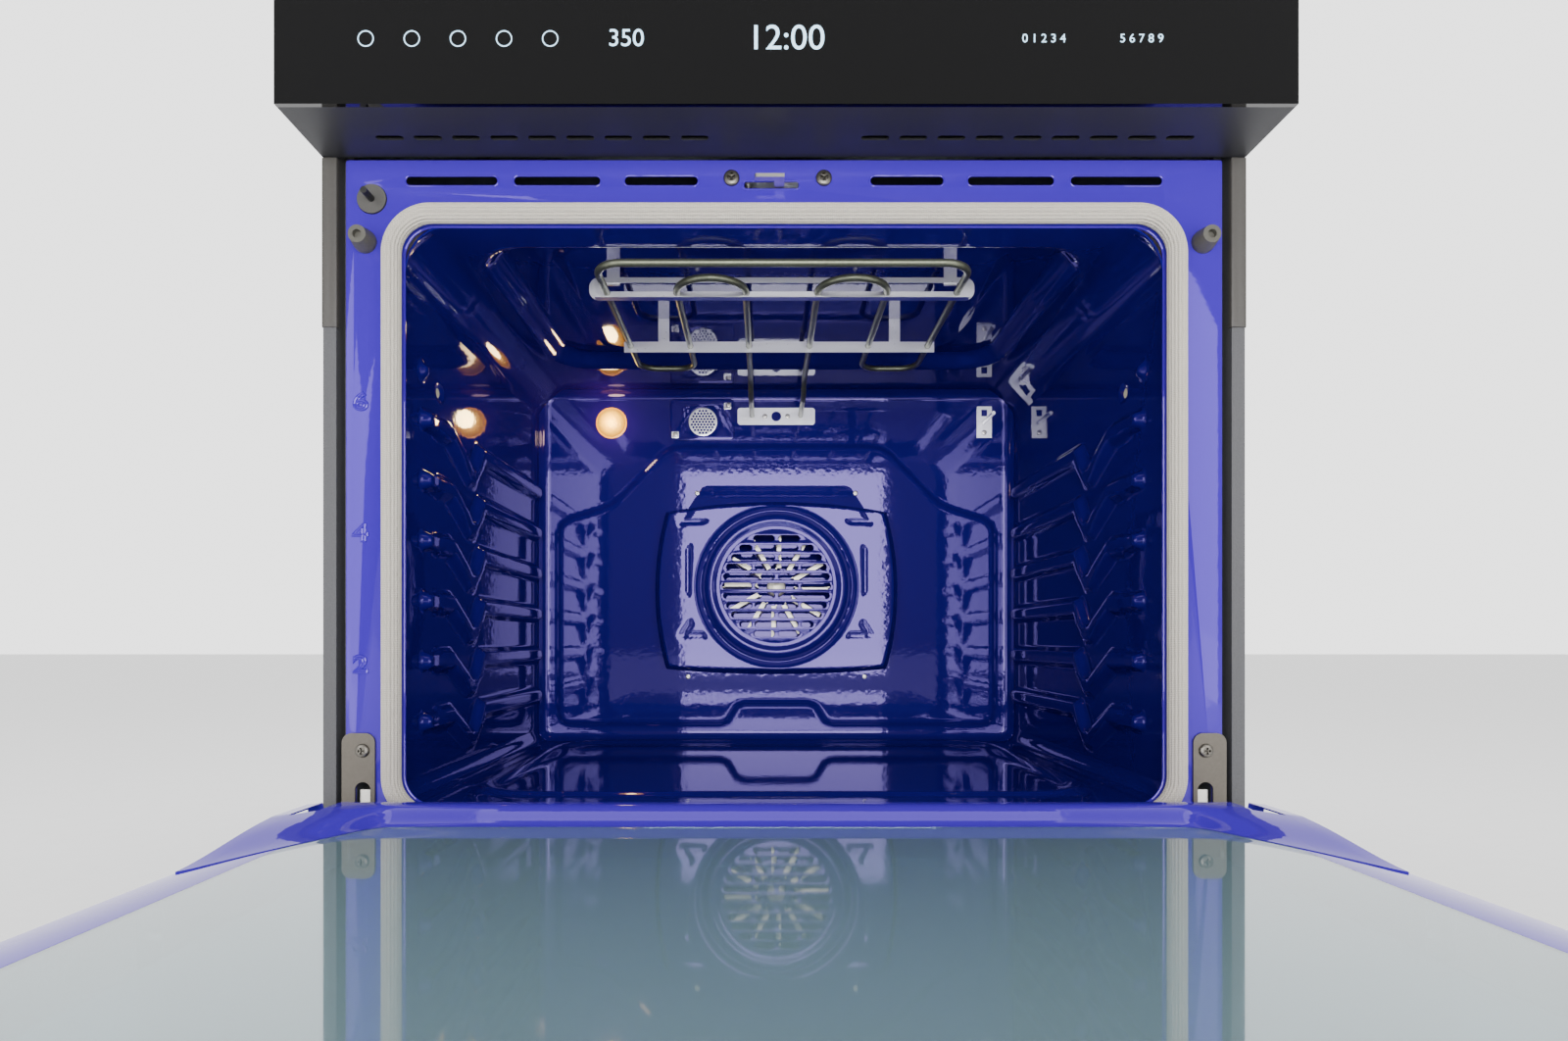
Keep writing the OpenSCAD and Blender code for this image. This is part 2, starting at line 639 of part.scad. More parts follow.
module temperature_probe() color("gainsboro") {
    difference() {
        plate_y(cavity_d - 1.5, 1.5 - eps)
            rect([probe_at[0] - 10.2, probe_at[1] - 21.3], [probe_at[0] + 10.3, probe_at[1] + 21.4]);
        rod_y([probe_at[0], cavity_d - 5, probe_at[1] - 14], screw_r, 8);
        plate_y(cavity_d - 5, 8) rect([probe_at[0] - 4, probe_at[1] + 8],
            [probe_at[0] + 4, probe_at[1] + 17]);
    }
    rod_y([probe_at[0], cavity_d - 48, probe_at[1]], 2.5, 60);
}

// ---------- front fittings ----------
module latch_housing() color("dimgray") difference() {
    box([-58, sheet, duct_z + 2], [48, 52, duct_z + 20]);
    box([-50, 0, duct_z + 3.2], [40, 48, duct_z + 18.8]);
    for (x = [-43, 32.6]) rod_y([x, 0, slot_z + 2], screw_r, 8);
    rod_z([latch_pivot[0], latch_pivot[1], duct_z], hook_r + run, 30);
}
module latch_hook() color("gray") {
    p = latch_pivot;
    // pivot pin, lever through the slot and nose in front of the frame
    rod_z([p[0], p[1], duct_z + 2.5], hook_r, 17);
    plate_z(latch_z - 2, 3) {
        translate(p) circle(7);
        rect([p[0], p[1] - 4], [0, p[1] + 4]);
        rect([-8, -hook_out], [0, p[1] + 4]);
        round_rect([-24, -hook_out], [0, 6 - hook_out], 2);
    }
}
module switch_body() color("gray") difference() {
    union() {
        rod_y([switch_x, -1.2, switch_z], switch_r, 1.2 + sheet);
        rod_y([switch_x, sheet - eps, switch_z], switch_stem_r, switch_stem_l);
    }
    rod_y([switch_x, -3, switch_z], plunger_r + run, 27);
}
module switch_plunger() color("dimgray") {
    rod_y([switch_x, -plunger_l, switch_z], plunger_r, plunger_l + 24 - plunger_travel - 3.5);
}
module door_bumpers() color("darkslategray") both() translate([bumper_x, 0, bumper_z]) rotate([90, 0, 0])
    difference() {
        union() {
            rotate_extrude() polygon([[0, 0], [9.5, 0], [9.5, 3], [7.2, bumper_l], [0, bumper_l]]);
            translate([0, 0, -6]) cylinder(r = 3.9, h = 6 + eps);
        }
        translate([0, 0, bumper_l - 4]) cylinder(r = 3.5, h = 5);
    }
module hinge_plates() color("dimgray") both() plate_y(-plate_t, plate_t - eps) difference() {
    union() {
        rect([plate_in, 52], [plate_out, plate_top - 8]);
        round_rect([plate_in, 120], [plate_out, plate_top], 8);
    }
    hinge_slot_2d();
    translate(plate_screw) circle(screw_r);
}
// channels behind the front frame that the hinge arms hook into
module hinge_receivers() color("silver") both() {
    r = hinge_slot_w / 2;
    for (x = [hinge_x - r - 1.8, hinge_x + r]) box([x, sheet, 50], [x + 1.8, 66, plate_top - 6]);
    box([hinge_x - r - 1.8, 64.2, 50], [hinge_x + r + 1.8, 66, plate_top - 6]);
    // cross pins that the hook of each arm rests on
    for (z = [120, 66]) rod_x([hinge_x - r - 0.5, 34, z], 3, 2 * r + 1);
}
module hinge_arms() color("silver") both() difference() {
    plate_x(hinge_x - arm_t / 2, arm_t) {
        translate([-hinge_y, hinge_z]) circle(8);
        rect([-hinge_y, hinge_z - 6], [12, hinge_z + 6]);
        rect([2.5, hinge_z - 6], [26, 124]);
        rect([2.5, 106], [48, 116.5]);
        rect([2.5, 76], [44, 90]);
    }
    rod_x([0, -hinge_y, hinge_z], pin_r + run, 400);
}

// ---------- cooling air ----------
module air_duct() color("silver") difference() {
    x = -switch_x - switch_stem_r - 2;
    union() {
        box([-x, sheet, duct_z], [x, 470, duct_z + 1]);
        box([-x, sheet, duct_z + duct_h], [x, 470, duct_z + duct_h + 1]);
        both() box([x - 1, sheet, duct_z], [x, 470, duct_z + duct_h + 1]);
        box([-x, 469, duct_z], [x, 470, duct_z + duct_h + 1]);
    }
    rod_z([0, 400, duct_z + 5], 52, duct_h);
}
module blower_housing() color("silver") difference() {
    z = duct_z + duct_h + 1;
    union() {
        rod_z([0, 400, z + eps], 84, 46);
        box([-98, 392, z + eps], [98, 408, z + 2]);
    }
    rod_z([0, 400, z - 1], 82, 46);
    rod_z([0, 400, z], 30, 60);
}
module blower_wheel() color("ivory") {
    z = duct_z + duct_h + 5;
    rod_z([0, 400, z], 70, 1.5);
    for (i = [0 : 23]) translate([0, 400, z]) rotate(i * 15) box([54, -0.6, 1], [69, 0.6, 32]);
    difference() {
        rod_z([0, 400, z + 31], 70, 1.5);
        rod_z([0, 400, z + 30], 54, 4);
    }
    rod_z([0, 400, z], 4, 42);
}
module blower_motor() color("slategray") difference() {
    z = duct_z + duct_h + 44;
    union() {
        rod_z([0, 400, z], 28, 22);
        rod_z([0, 400, z - 6], 12, 6 + eps);
        for (a = [0, 120, 240]) translate([0, 400, 0]) rotate(a + 30)
            box([20, -6, z + 3.1], [60, 6, z + 5]);
    }
    rod_z([0, 400, z - 7], 4 + run, 20);
}
module junction_box() color("silver") difference() {
    x = conduit_at[0];
    z = conduit_at[1];
    box([x - 35, body_d - 66, z - 33], [x + 35, body_d - 2 * case_t, z + 33]);
    box([x - 33.5, body_d - 64.5, z - 31.5], [x + 33.5, body_d - 2 * case_t - 1.5, z + 31.5]);
    rod_y([x, body_d - 10, z], conduit_r + 1, 12);
}

// ---------- fasteners ----------
module case_screws() color("silver") {
    both() for (z = [100, 370, 640]) translate([half_b - 9, body_d, z]) mirror([0, 1, 0])
        screw_y([0, 0, 0], 4, 6);
    both() for (z = [120, 370, 620]) translate([half_b + gap + sheet, trim_depth + 18, z])
        rotate([0, 0, 90]) screw_y([0, 0, 0], 4, 5);
    both() for (y = [80, 300, 520]) translate([half_b - 12, y, overall_h]) rotate([-90, 0, 0])
        screw_y([0, 0, 0], 4, 5);
}
module frame_screws() color("dimgray") {
    for (x = [-43, 32.6]) screw_y([x, 0, slot_z + 2], 6.6, 7);
    both() screw_y([plate_screw[0], -plate_t, plate_screw[1]], 5.7, 8);
}
module cavity_screws() color("silver")
    for (s = cavity_screw_at) screw_y([s[0], cavity_d - s[2], s[1]], 3.2, 8);

// ---------- door, drawn open ----------
// the ridge follows a circle about the hinge axis, so that it clears the front frame as it turns
ridge_r = hinge_y - plate_t - air;
ridge_back = -door_back;
latch_y = hinge_z - hinge_y - latch_z;
module ridge_2d() {
    intersection() {
        polygon([[ridge_back, skin_z + 6], [ridge_back, crest_z + 10], [-62 - 10, crest_z + 10],
            [-62, crest_z - 0.3],
            [-door_sill, glass_z], [-door_sill, skin_z + 6]]);
        translate([-hinge_y, hinge_z]) circle(ridge_r, $fn = 96);
    }
}
module arm_slot() {
    both() box([hinge_x - arm_t / 2 - 2.2, -hinge_y - 10, skin_z + 2],
        [hinge_x + arm_t / 2 + 2.2, 0, crest_z + 5]);
}
module door_liner() color("mediumblue") {
    out = half_b;
    difference() {
        union() {
            // ridge, as a shell over the hinge side of the door
            plate_x(-out, 2 * out) ridge_2d();
            // border around the inner glass
            box([-out, -door_front + 2, glass_z - sheet], [out, -door_sill + 1, glass_z]);
            // turned-down edges
            both() box([out - sheet, -door_front + 2, glass_z - 14], [out, -door_sill + 1, glass_z]);
            box([-out, -door_front + 2, glass_z - 14], [out, -door_front + 2 + sheet, glass_z]);
        }
        plate_x(-out - 1, 2 * out + 2) offset(delta = -sheet) ridge_2d();
        box([-glass_half - gap, -door_front + 24 - gap, glass_z - 10],
            [glass_half + gap, -door_sill + gap + 1.5, glass_z + 1]);
        arm_slot();
        // room for the hinge channels
        both() box([hinge_x - channel_out - gap, -door_sill - 2, skin_z],
            [hinge_x + channel_out + gap, -40, glass_z - 5.5]);
        // mouth for the door hook
        box([latch_x0 - 3, latch_y - 5, glass_z - 16], [latch_x1 + 3, latch_y + 5, glass_z + 1]);
    }
}
module door_inner_glass() color("lightsteelblue", 0.5)
    box([-glass_half, -door_front + 24, glass_z - glass_t], [glass_half, -door_sill, glass_z]);
module door_middle_glass() color("lightsteelblue", 0.5)
    box([-300, -door_front + 60, glass_z - 22], [300, -door_sill - 30, glass_z - 22 + glass_t]);
module door_front_panel() color("silver") difference() {
    union() {
        box([-half_w, -door_front, skin_z], [half_w, ridge_back - 2, skin_z + 1.5]);
        // side walls and top wall of the pan
        both() box([half_w - 1.5, -door_front, skin_z], [half_w, ridge_back - 2, glass_z - 16]);
        box([-half_w, -door_front, skin_z], [half_w, -door_front + 1.5, glass_z - 16]);
    }
    box([-270, -door_front + 110, skin_z - 1], [270, -150, skin_z + 3]);
    both() rod_z([handle_span / 2, -door_front + 46, skin_z - 5], 3, 10);
    both() for (x = [40 : 40 : 320]) plate_y(-door_front - 1, 4) slot([x - 14, skin_z + 24],
        [x + 14, skin_z + 32]);
}
module door_window_glass() color("black", 0.7)
    box([-285, -door_front + 95, skin_z + 1.5 + eps], [285, -135, skin_z + 1.5 + glass_t]);
module handle_bar() color("silver")
    rod_x([-handle_span / 2 - 24, -door_front + 46, skin_z - handle_reach], handle_r, handle_span + 48);
module handle_posts() color("silver") both() difference() {
    rod_z([handle_span / 2, -door_front + 46, skin_z - handle_reach], 7, handle_reach - eps);
    rod_x([0, -door_front + 46, skin_z - handle_reach], handle_r, 400);
    rod_z([handle_span / 2, -door_front + 46, skin_z - 12], 2.6, 20);
}
module hinge_channels() color("gray") both() {
    in = channel_in;
    difference() {
        union() {
            for (x = [hinge_x - channel_out, hinge_x + in]) box([x, -240, skin_z + 3],
                [x + 1.6, -44, glass_z - 6]);
            box([hinge_x - channel_out, -240, skin_z + 1.6], [hinge_x + channel_out, -74, skin_z + 3.2]);
        }
        // the arm turns up between the two cheeks
        box([hinge_x - in, -100, skin_z + 3.2], [hinge_x + in, 0, crest_z]);
    }
    rod_x([hinge_x - channel_out - eps, -hinge_y, hinge_z], pin_r, 2 * in + 3.2 + 2 * eps);
    // spring that balances the door, with its two anchors
    rod_y([hinge_x, -228, skin_z + 24], 5, 110);
    for (y = [-232, -118]) rod_x([hinge_x - in - eps, y, skin_z + 24], 3, 2 * in + 2 * eps);
}
module door_screws() color("silver") {
    both() rod_z([handle_span / 2, -door_front + 46, skin_z - 8], 2.5, 9.5);
    both() rod_z([handle_span / 2, -door_front + 46, skin_z + 1.5], 5, 3);
    both() for (y = [-180, -400]) translate([half_b + (half_w - half_b) / 2, y, glass_z - 16])
        rotate([90, 0, 0]) screw_y([0, 0, 0], 3, 4);
}

front_frame();
cavity_wrap();
cavity_back();
door_gasket();
insulation_blanket();
side_trim_left();
side_trim_right();
trim_caps();
side_panel_left();
side_panel_right();
base_pan();
back_cover();
top_cover();
bottom_trim();
control_housing();
control_glass();
display_module();
control_board();
grill_element();
grill_bracket_front();
grill_bracket_rear();
element_plate();
floor_element();
fan_cover();
ring_element();
fan_motor();
fan_motor_bracket();
lamp_lens();
lamp_bulb();
lamp_housing();
vent_cover();
vent_screen();
temperature_probe();
latch_housing();
switch_body();
door_bumpers();
hinge_plates();
hinge_receivers();
hinge_arms();
air_duct();
blower_housing();
blower_motor();
junction_box();
case_screws();
frame_screws();
cavity_screws();
convection_fan();
blower_wheel();
latch_hook();
switch_plunger();
door_liner();
door_inner_glass();
door_middle_glass();
door_front_panel();
door_window_glass();
handle_bar();
handle_posts();
hinge_channels();
door_screws();
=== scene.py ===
# %% [markdown]
# # A built-in oven in blue enamel
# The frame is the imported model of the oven: every piece of it sits where the designer put it,
# in metres, with X across, Y into the oven and Z up.
# We take our measures from it and give each visible piece its real surface.

# %% Load the frame
from math import cos, pi, radians, sin, sqrt

import bmesh
import bpy
import numpy as np
from mathutils import Matrix, Vector


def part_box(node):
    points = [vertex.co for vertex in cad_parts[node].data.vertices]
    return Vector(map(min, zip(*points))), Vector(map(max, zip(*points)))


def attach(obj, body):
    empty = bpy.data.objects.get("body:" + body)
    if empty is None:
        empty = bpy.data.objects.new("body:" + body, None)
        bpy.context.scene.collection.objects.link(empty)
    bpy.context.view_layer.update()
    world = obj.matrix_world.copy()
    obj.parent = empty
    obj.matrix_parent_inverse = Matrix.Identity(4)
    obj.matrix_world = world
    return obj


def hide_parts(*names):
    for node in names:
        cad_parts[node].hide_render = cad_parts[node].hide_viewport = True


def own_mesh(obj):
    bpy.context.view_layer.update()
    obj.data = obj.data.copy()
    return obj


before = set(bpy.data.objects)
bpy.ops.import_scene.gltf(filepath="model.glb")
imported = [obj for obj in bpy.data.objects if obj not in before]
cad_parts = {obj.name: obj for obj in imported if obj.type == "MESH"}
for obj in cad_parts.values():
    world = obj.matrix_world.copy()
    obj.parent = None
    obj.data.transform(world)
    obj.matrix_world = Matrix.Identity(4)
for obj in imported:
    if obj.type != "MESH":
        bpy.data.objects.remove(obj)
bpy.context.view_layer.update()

scene = bpy.context.scene
MM = 0.001

# %% [markdown]
# ## Camera and studio
# The inside of an oven shows best from close to the open door, through a wide lens held dead
# level, so that all upright edges stay upright. The lens is shifted, not tilted, to take in the
# ceiling. Shift is a fraction of the sensor's width.

# %% Camera
camera = bpy.data.objects.new("camera", bpy.data.cameras.new("camera"))
scene.collection.objects.link(camera)
camera.location = (-0.0161, -0.688, 0.246)
camera.rotation_euler = (radians(90), 0, 0)
camera.data.sensor_width = 36
camera.data.lens = 19.28
camera.data.shift_x = 0.0125
camera.data.shift_y = 0.0769
camera.data.clip_start = 0.01
scene.camera = camera
print("camera at", tuple(camera.location))

# %% [markdown]
# ## Colour and node helpers
# Paint makers give a colour as a hex code, while Blender's sockets take linear light, so one
# function converts. The others wire up the few nodes that every finish shares: a shader, a bump,
# a change of roughness, a change of colour, and noise whose blobs have a size in millimetres.

# %% Colour and material
def linear(code):
    """An sRGB hex colour as the linear RGBA that Blender's sockets take."""
    parts = [int(code[i:i + 2], 16) / 255 for i in (0, 2, 4)]
    return [c / 12.92 if c <= 0.04045 else ((c + 0.055) / 1.055) ** 2.4 for c in parts] + [1.0]


def add(tree, kind, sockets=None, **settings):
    """Adds a node with its settings; sockets maps an input's name to a value or to an output."""
    made = tree.nodes.new(kind)
    for key, value in settings.items():
        setattr(made, key, value)
    for key, value in (sockets or {}).items():
        if isinstance(value, bpy.types.NodeSocket):
            tree.links.new(value, made.inputs[key])
        else:
            made.inputs[key].default_value = value
    return made


def finish(name, colour, roughness, **sockets):
    """A material with one Principled shader; returns it, its tree and the shader."""
    mat = bpy.data.materials.new(name)
    mat.use_nodes = True
    shader = mat.node_tree.nodes["Principled BSDF"]
    shader.inputs["Base Color"].default_value = linear(colour)
    shader.inputs["Roughness"].default_value = roughness
    for key, value in sockets.items():
        shader.inputs[key.replace("_", " ")].default_value = value
    return mat, mat.node_tree, shader


print("white in linear light", linear("FFFFFF"))

# %% [markdown]
# A finish becomes believable when it varies a little. Bump tilts the light without moving the
# surface, and the same texture can drive roughness or colour, so that all of them agree.

# %% Texture links
def relief(tree, shader, height, strength, distance):
    """Feeds a height into the shader's normal as bump of that depth in metres."""
    bump = add(tree, "ShaderNodeBump", {"Strength": strength, "Distance": distance, "Height": height})
    tree.links.new(bump.outputs["Normal"], shader.inputs["Normal"])


def spread(tree, shader, name, height, low, high):
    """Varies a shader input between two values by a texture's height."""
    ramp = add(tree, "ShaderNodeMapRange", {"Value": height, "To Min": low, "To Max": high})
    tree.links.new(ramp.outputs["Result"], shader.inputs[name])


def tint(tree, shader, height, first, second):
    """Varies the base colour between two hex colours by a texture's height."""
    mix = add(tree, "ShaderNodeMix", {"Factor": height}, data_type="RGBA")
    mix.inputs[6].default_value = linear(first)
    mix.inputs[7].default_value = linear(second)
    tree.links.new(mix.outputs[2], shader.inputs["Base Color"])


def grain(tree, size_mm, stretch=(1, 1, 1), detail=2.0):
    """Noise on Object coordinates whose blobs are about size_mm across, stretched along the axes."""
    place = add(tree, "ShaderNodeTexCoord")
    scale = add(tree, "ShaderNodeMapping", {"Vector": place.outputs["Object"], "Scale": stretch})
    return add(tree, "ShaderNodeTexNoise", {"Vector": scale.outputs["Vector"], "Scale": 1000 / size_mm,
                                             "Detail": detail})


print("texture links ready")

# %% [markdown]
# ## Porcelain enamel
# Enamel is glass fused to steel: a deep coloured ground under a clear, very smooth skin.
# Its only texture is a faint orange peel, ripples a few millimetres wide, which breaks up the
# edge of every reflection. The ground is a blue with a little violet in it.

# %% Enamel
PEEL_MM, PEEL_DEPTH, SPECK_MM = 7.0, 0.00004, 0.6


def enamel(name, colour):
    """Glass fused to steel: one ground colour, orange peel and a violet cast in its reflections."""
    mat, tree, shader = finish(name, colour, 0.035, IOR=1.62, Specular_Tint=linear("B8A6FF"))
    peel = grain(tree, PEEL_MM, detail=1.0)
    relief(tree, shader, peel.outputs["Fac"], 1.0, PEEL_DEPTH)
    specks = grain(tree, SPECK_MM)
    spread(tree, shader, "Roughness", specks.outputs["Fac"], 0.02, 0.06)
    return mat


# One enamel in two copies: the cavity's ground colour is darker than the frame's, as painted shade for the
# inside of the oven.
frame_enamel = enamel("porcelain enamel, bright blue", "3E1FA8")
cavity_enamel_painted_shade = enamel("porcelain enamel, blue darkened as painted shade", "1B086A")
print("enamel made")


# %% [markdown]
# ## Bare metals
# Brushed stainless steel has long fine scratches one way. Noise that is stretched along one axis
# gives them, and the same noise varies the roughness, so that highlights smear along the grain.

# %% Brushed metals
def brushed(name, colour, roughness, stretch):
    """A bare metal whose scratches run along the axis with the smallest stretch."""
    mat, tree, shader = finish(name, colour, roughness, Metallic=1.0)
    lines = grain(tree, 0.8, stretch, 4.0)
    relief(tree, shader, lines.outputs["Fac"], 0.6, 0.00002)
    spread(tree, shader, "Roughness", lines.outputs["Fac"], roughness - 0.08, roughness + 0.1)
    return mat


steel = brushed("brushed stainless steel", "C9CACC", 0.27, (0.02, 1, 1))
bright_sheet = brushed("bright nickel-plated sheet", "E4E4EA", 0.3, (0.2, 1, 1))
plated = brushed("zinc-plated steel", "D8D6CE", 0.3, (1, 0.2, 1))
print("brushed metals:", steel.name, bright_sheet.name, plated.name)

# %% [markdown]
# ## Coats, plastics and rubber
# Powder coat is a grey paint with a pebbled skin. Galvanised sheet shows zinc crystals as pale
# and dark patches. The element's tube is nickel alloy that heat has turned a dull olive. All of
# them are two near colours and a bump from one noise, so one function makes them all.

# %% Coated finishes
def coated(name, first, second, roughness, size_mm, depth, **sockets):
    """A skin that wavers between two colours, with pebbles size_mm across and depth metres high."""
    mat, tree, shader = finish(name, first, roughness, **sockets)
    pebble = grain(tree, size_mm)
    relief(tree, shader, pebble.outputs["Fac"], 0.8, depth)
    tint(tree, shader, pebble.outputs["Fac"], first, second)
    return mat


galvanised = coated("galvanised steel sheet", "A9ADB2", "C2C6CA", 0.42, 14, 0.00001, Metallic=1.0)
powder_coat = coated("grey powder coat", "47474A", "5A5A5D", 0.55, 1.6, 0.00025)
dark_coat = coated("dark satin coat", "242427", "2E2E31", 0.45, 1.2, 0.00005)
cap_plastic = coated("moulded grey nylon", "45423F", "4C4A47", 0.38, 2.0, 0.00003)
dark_plate = coated("phosphated steel plate", "57524B", "645F57", 0.36, 2.5, 0.00004, Metallic=0.6)
rubber = coated("silicone rubber", "4B4943", "5C5A52", 0.5, 1.5, 0.00006)
olive_tube = coated("heat-darkened nickel alloy tube", "5C604F", "7A7D6C", 0.36, 2.5, 0.00003, Metallic=0.75)
cream_tube = coated("oxidised alloy tube", "D9D3BF", "C2BAA2", 0.45, 3.0, 0.00003)
fan_sheet = coated("aluminised steel blade", "D6D0BE", "EBE6D8", 0.35, 4.0, 0.00003, Metallic=0.4)
screw_steel = coated("dark plated screw steel", "5A5752", "7C7870", 0.32, 0.8, 0.00003, Metallic=0.9)
light_screw = coated("plated screw steel", "B8B6B2", "D6D4D0", 0.3, 0.8, 0.00003, Metallic=0.9)
switch_plastic = coated("grey acetal", "454442", "52504D", 0.4, 1.2, 0.00003)
black_plastic = coated("black acetal", "121212", "1F1F20", 0.42, 1.0, 0.00003)
motor_paint = coated("grey motor enamel", "5A5D62", "6B6E73", 0.4, 1.5, 0.00004)
board_mask = coated("green solder mask", "0F4D24", "176032", 0.3, 2.0, 0.00003)
wool = coated("glass wool", "D9CFA6", "EFE8CC", 0.95, 3.0, 0.0012)
print("coated finishes made")

# %% [markdown]
# ## Braid
# The seal is a hose braided from glass-fibre yarn: soft, pale, with threads that run along it.
# Two crossed waves give the braid, at the yarn's spacing of about 1.4 mm.

# %% Braid
braid, tree, shader = finish("glass-fibre braid", "CFC8BC", 0.9, Sheen_Weight=0.3)
place = add(tree, "ShaderNodeTexCoord")
waves = []
for direction in ("X", "Z"):
    waves.append(add(tree, "ShaderNodeTexWave", {"Vector": place.outputs["Object"], "Scale": 220.0,
                                                  "Distortion": 2.5, "Detail": 2.0},
                     bands_direction=direction))
weave = add(tree, "ShaderNodeMath", {0: waves[0].outputs["Fac"], 1: waves[1].outputs["Fac"]},
            operation="MULTIPLY")
relief(tree, shader, weave.outputs["Value"], 0.8, 0.0005)
tint(tree, shader, weave.outputs["Value"], "B9B2A6", "E0DACF")

print("braid made with", len(waves), "waves")

# %% [markdown]
# ## Glass
# The inner pane has a heat-reflecting coat, so it mirrors more than plain glass does: a higher
# index of refraction gives that. The panel and the window in front are tinted nearly black.

# %% Door and panel glass
pane, tree, shader = finish("coated float glass", "A6C6CE", 0.02, IOR=1.9, Transmission_Weight=0.75)
haze = grain(tree, 60)
spread(tree, shader, "Roughness", haze.outputs["Fac"], 0.01, 0.06)
tinted, tree, shader = finish("black-tinted float glass", "050506", 0.03, IOR=1.52, Coat_Weight=1.0)
smear = grain(tree, 90)
spread(tree, shader, "Roughness", smear.outputs["Fac"], 0.02, 0.09)
print("glass made:", pane.name, tinted.name)

# %% [markdown]
# ## Lamp
# The lit lamp is brightest in its middle and amber at its rim, where the light comes through
# more glass. The distance from the lamp's centre, measured across the lens, drives the colour.

# %% Lamp glass and capsule
LAMP_CORE_R, LAMP_RIM_R = 0.004, 0.019
lens_glass, tree, shader = finish("pressed lamp glass", "D9983A", 0.08, IOR=1.5, Transmission_Weight=0.3,
                                  Emission_Strength=1.9)
flutes = grain(tree, 4.0)
relief(tree, shader, flutes.outputs["Fac"], 1.0, 0.0008)
lamp_low, lamp_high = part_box("lamp_lens")
lamp_x, lamp_z = ((lamp_low[k] + lamp_high[k]) / 2 / MM for k in (0, 2))
place = add(tree, "ShaderNodeTexCoord")
flat = add(tree, "ShaderNodeVectorMath", {0: place.outputs["Object"], 1: (1.0, 0.0, 1.0)},
           operation="MULTIPLY")
reach = add(tree, "ShaderNodeVectorMath", {0: flat.outputs["Vector"], 1: (lamp_x * MM, 0.0, lamp_z * MM)},
            operation="DISTANCE")
ramp = add(tree, "ShaderNodeMapRange", {"Value": reach.outputs["Value"],
                                         "From Min": LAMP_CORE_R, "From Max": LAMP_RIM_R})
warm = add(tree, "ShaderNodeMix", {"Factor": ramp.outputs["Result"]}, data_type="RGBA")
warm.inputs[6].default_value = linear("FFEE50")
warm.inputs[7].default_value = linear("D88A08")
tree.links.new(warm.outputs[2], shader.inputs["Emission Color"])
filament, tree, shader = finish("lit halogen capsule", "FFF3D0", 0.2, Emission_Strength=30.0)
shader.inputs["Emission Color"].default_value = linear("FFE0A0")
glow = grain(tree, 3.0)
tint(tree, shader, glow.outputs["Fac"], "FFF3D0", "FFE8B8")
print("lamp centre", round(lamp_x, 1), round(lamp_z, 1))

# %% [markdown]
# ## Shapes from sheet steel
# Every enamelled part starts as flat sheet that a press draws to shape. A grid of points pushed
# along its normal does the same, and it gives the soft shoulders that pressed steel has.

# %% Pressed sheet
PIECE_CREASE, CUT_CREASE = radians(35), radians(20)


def piece(name, verts, faces, mat):
    """A smooth mesh object from points in millimetres, with its sharp edges kept crisp."""
    mesh = bpy.data.meshes.new(name)
    mesh.from_pydata([tuple(v) for v in np.asarray(verts) * MM], [], faces)
    work = bmesh.new()
    work.from_mesh(mesh)
    bmesh.ops.recalc_face_normals(work, faces=work.faces)
    work.to_mesh(mesh)
    work.free()
    mesh.materials.append(mat)
    mesh.shade_smooth()
    mesh.set_sharp_from_angle(angle=PIECE_CREASE)
    made = bpy.data.objects.new(name, mesh)
    scene.collection.objects.link(made)
    return made


def pressed(name, grid, thickness, mat, wrap=False):
    """A closed sheet from a grid of points; the side that the grid's normals face is the seen one."""
    rows, cols = grid.shape[:2]
    along = np.gradient(grid, axis=0)
    if wrap:
        ring = np.concatenate([grid[:, -1:], grid, grid[:, :1]], axis=1)
        across = (ring[:, 2:] - ring[:, :-2]) / 2
    else:
        across = np.gradient(grid, axis=1)
    normal = np.cross(along, across)
    normal /= np.linalg.norm(normal, axis=2, keepdims=True) + 1e-12
    back = grid - normal * thickness
    verts = np.concatenate([grid.reshape(-1, 3), back.reshape(-1, 3)])
    far = rows * cols
    span = cols if wrap else cols - 1
    faces = []
    for i in range(rows - 1):
        for j in range(span):
            a, b = i * cols + j, i * cols + (j + 1) % cols
            c, d = a + cols, b + cols
            faces.append((a, c, d, b))
            faces.append((far + a, far + b, far + d, far + c))
    for i in (0, rows - 1):
        for j in range(span):
            a, b = i * cols + j, i * cols + (j + 1) % cols
            faces.append((a, b, far + b, far + a))
    if not wrap:
        for j in (0, cols - 1):
            for i in range(rows - 1):
                a, c = i * cols + j, (i + 1) * cols + j
                faces.append((a, c, far + c, far + a))
    return piece(name, verts, faces, mat)


print("creases kept above", round(PIECE_CREASE, 2), "and", round(CUT_CREASE, 2), "radians")

# %% [markdown]
# What a press does can be said with a few distances: how far a point is from a line, a corner
# or a box, and a soft step from 0 to 1 across the bend. These are the press's tools here.

# %% Press tools
def step(low, high, value):
    """0 below low, 1 above high, and an S-shaped slope between."""
    t = np.clip((value - low) / (high - low), 0, 1)
    return t * t * (3 - 2 * t)


def hump(value, width):
    """A round hump 1 high at 0."""
    return np.exp(-(value / width) ** 2)


def off_line(px, py, points, closed=False):
    """Distance from each (px, py) to a line through the points."""
    best = np.full(np.shape(px), 1e9)
    ends = list(zip(points, points[1:] + points[:1])) if closed else list(zip(points, points[1:]))
    for (ax, ay), (bx, by) in ends:
        dx, dy = bx - ax, by - ay
        t = np.clip(((px - ax) * dx + (py - ay) * dy) / (dx * dx + dy * dy), 0, 1)
        best = np.minimum(best, np.hypot(px - ax - t * dx, py - ay - t * dy))
    return best


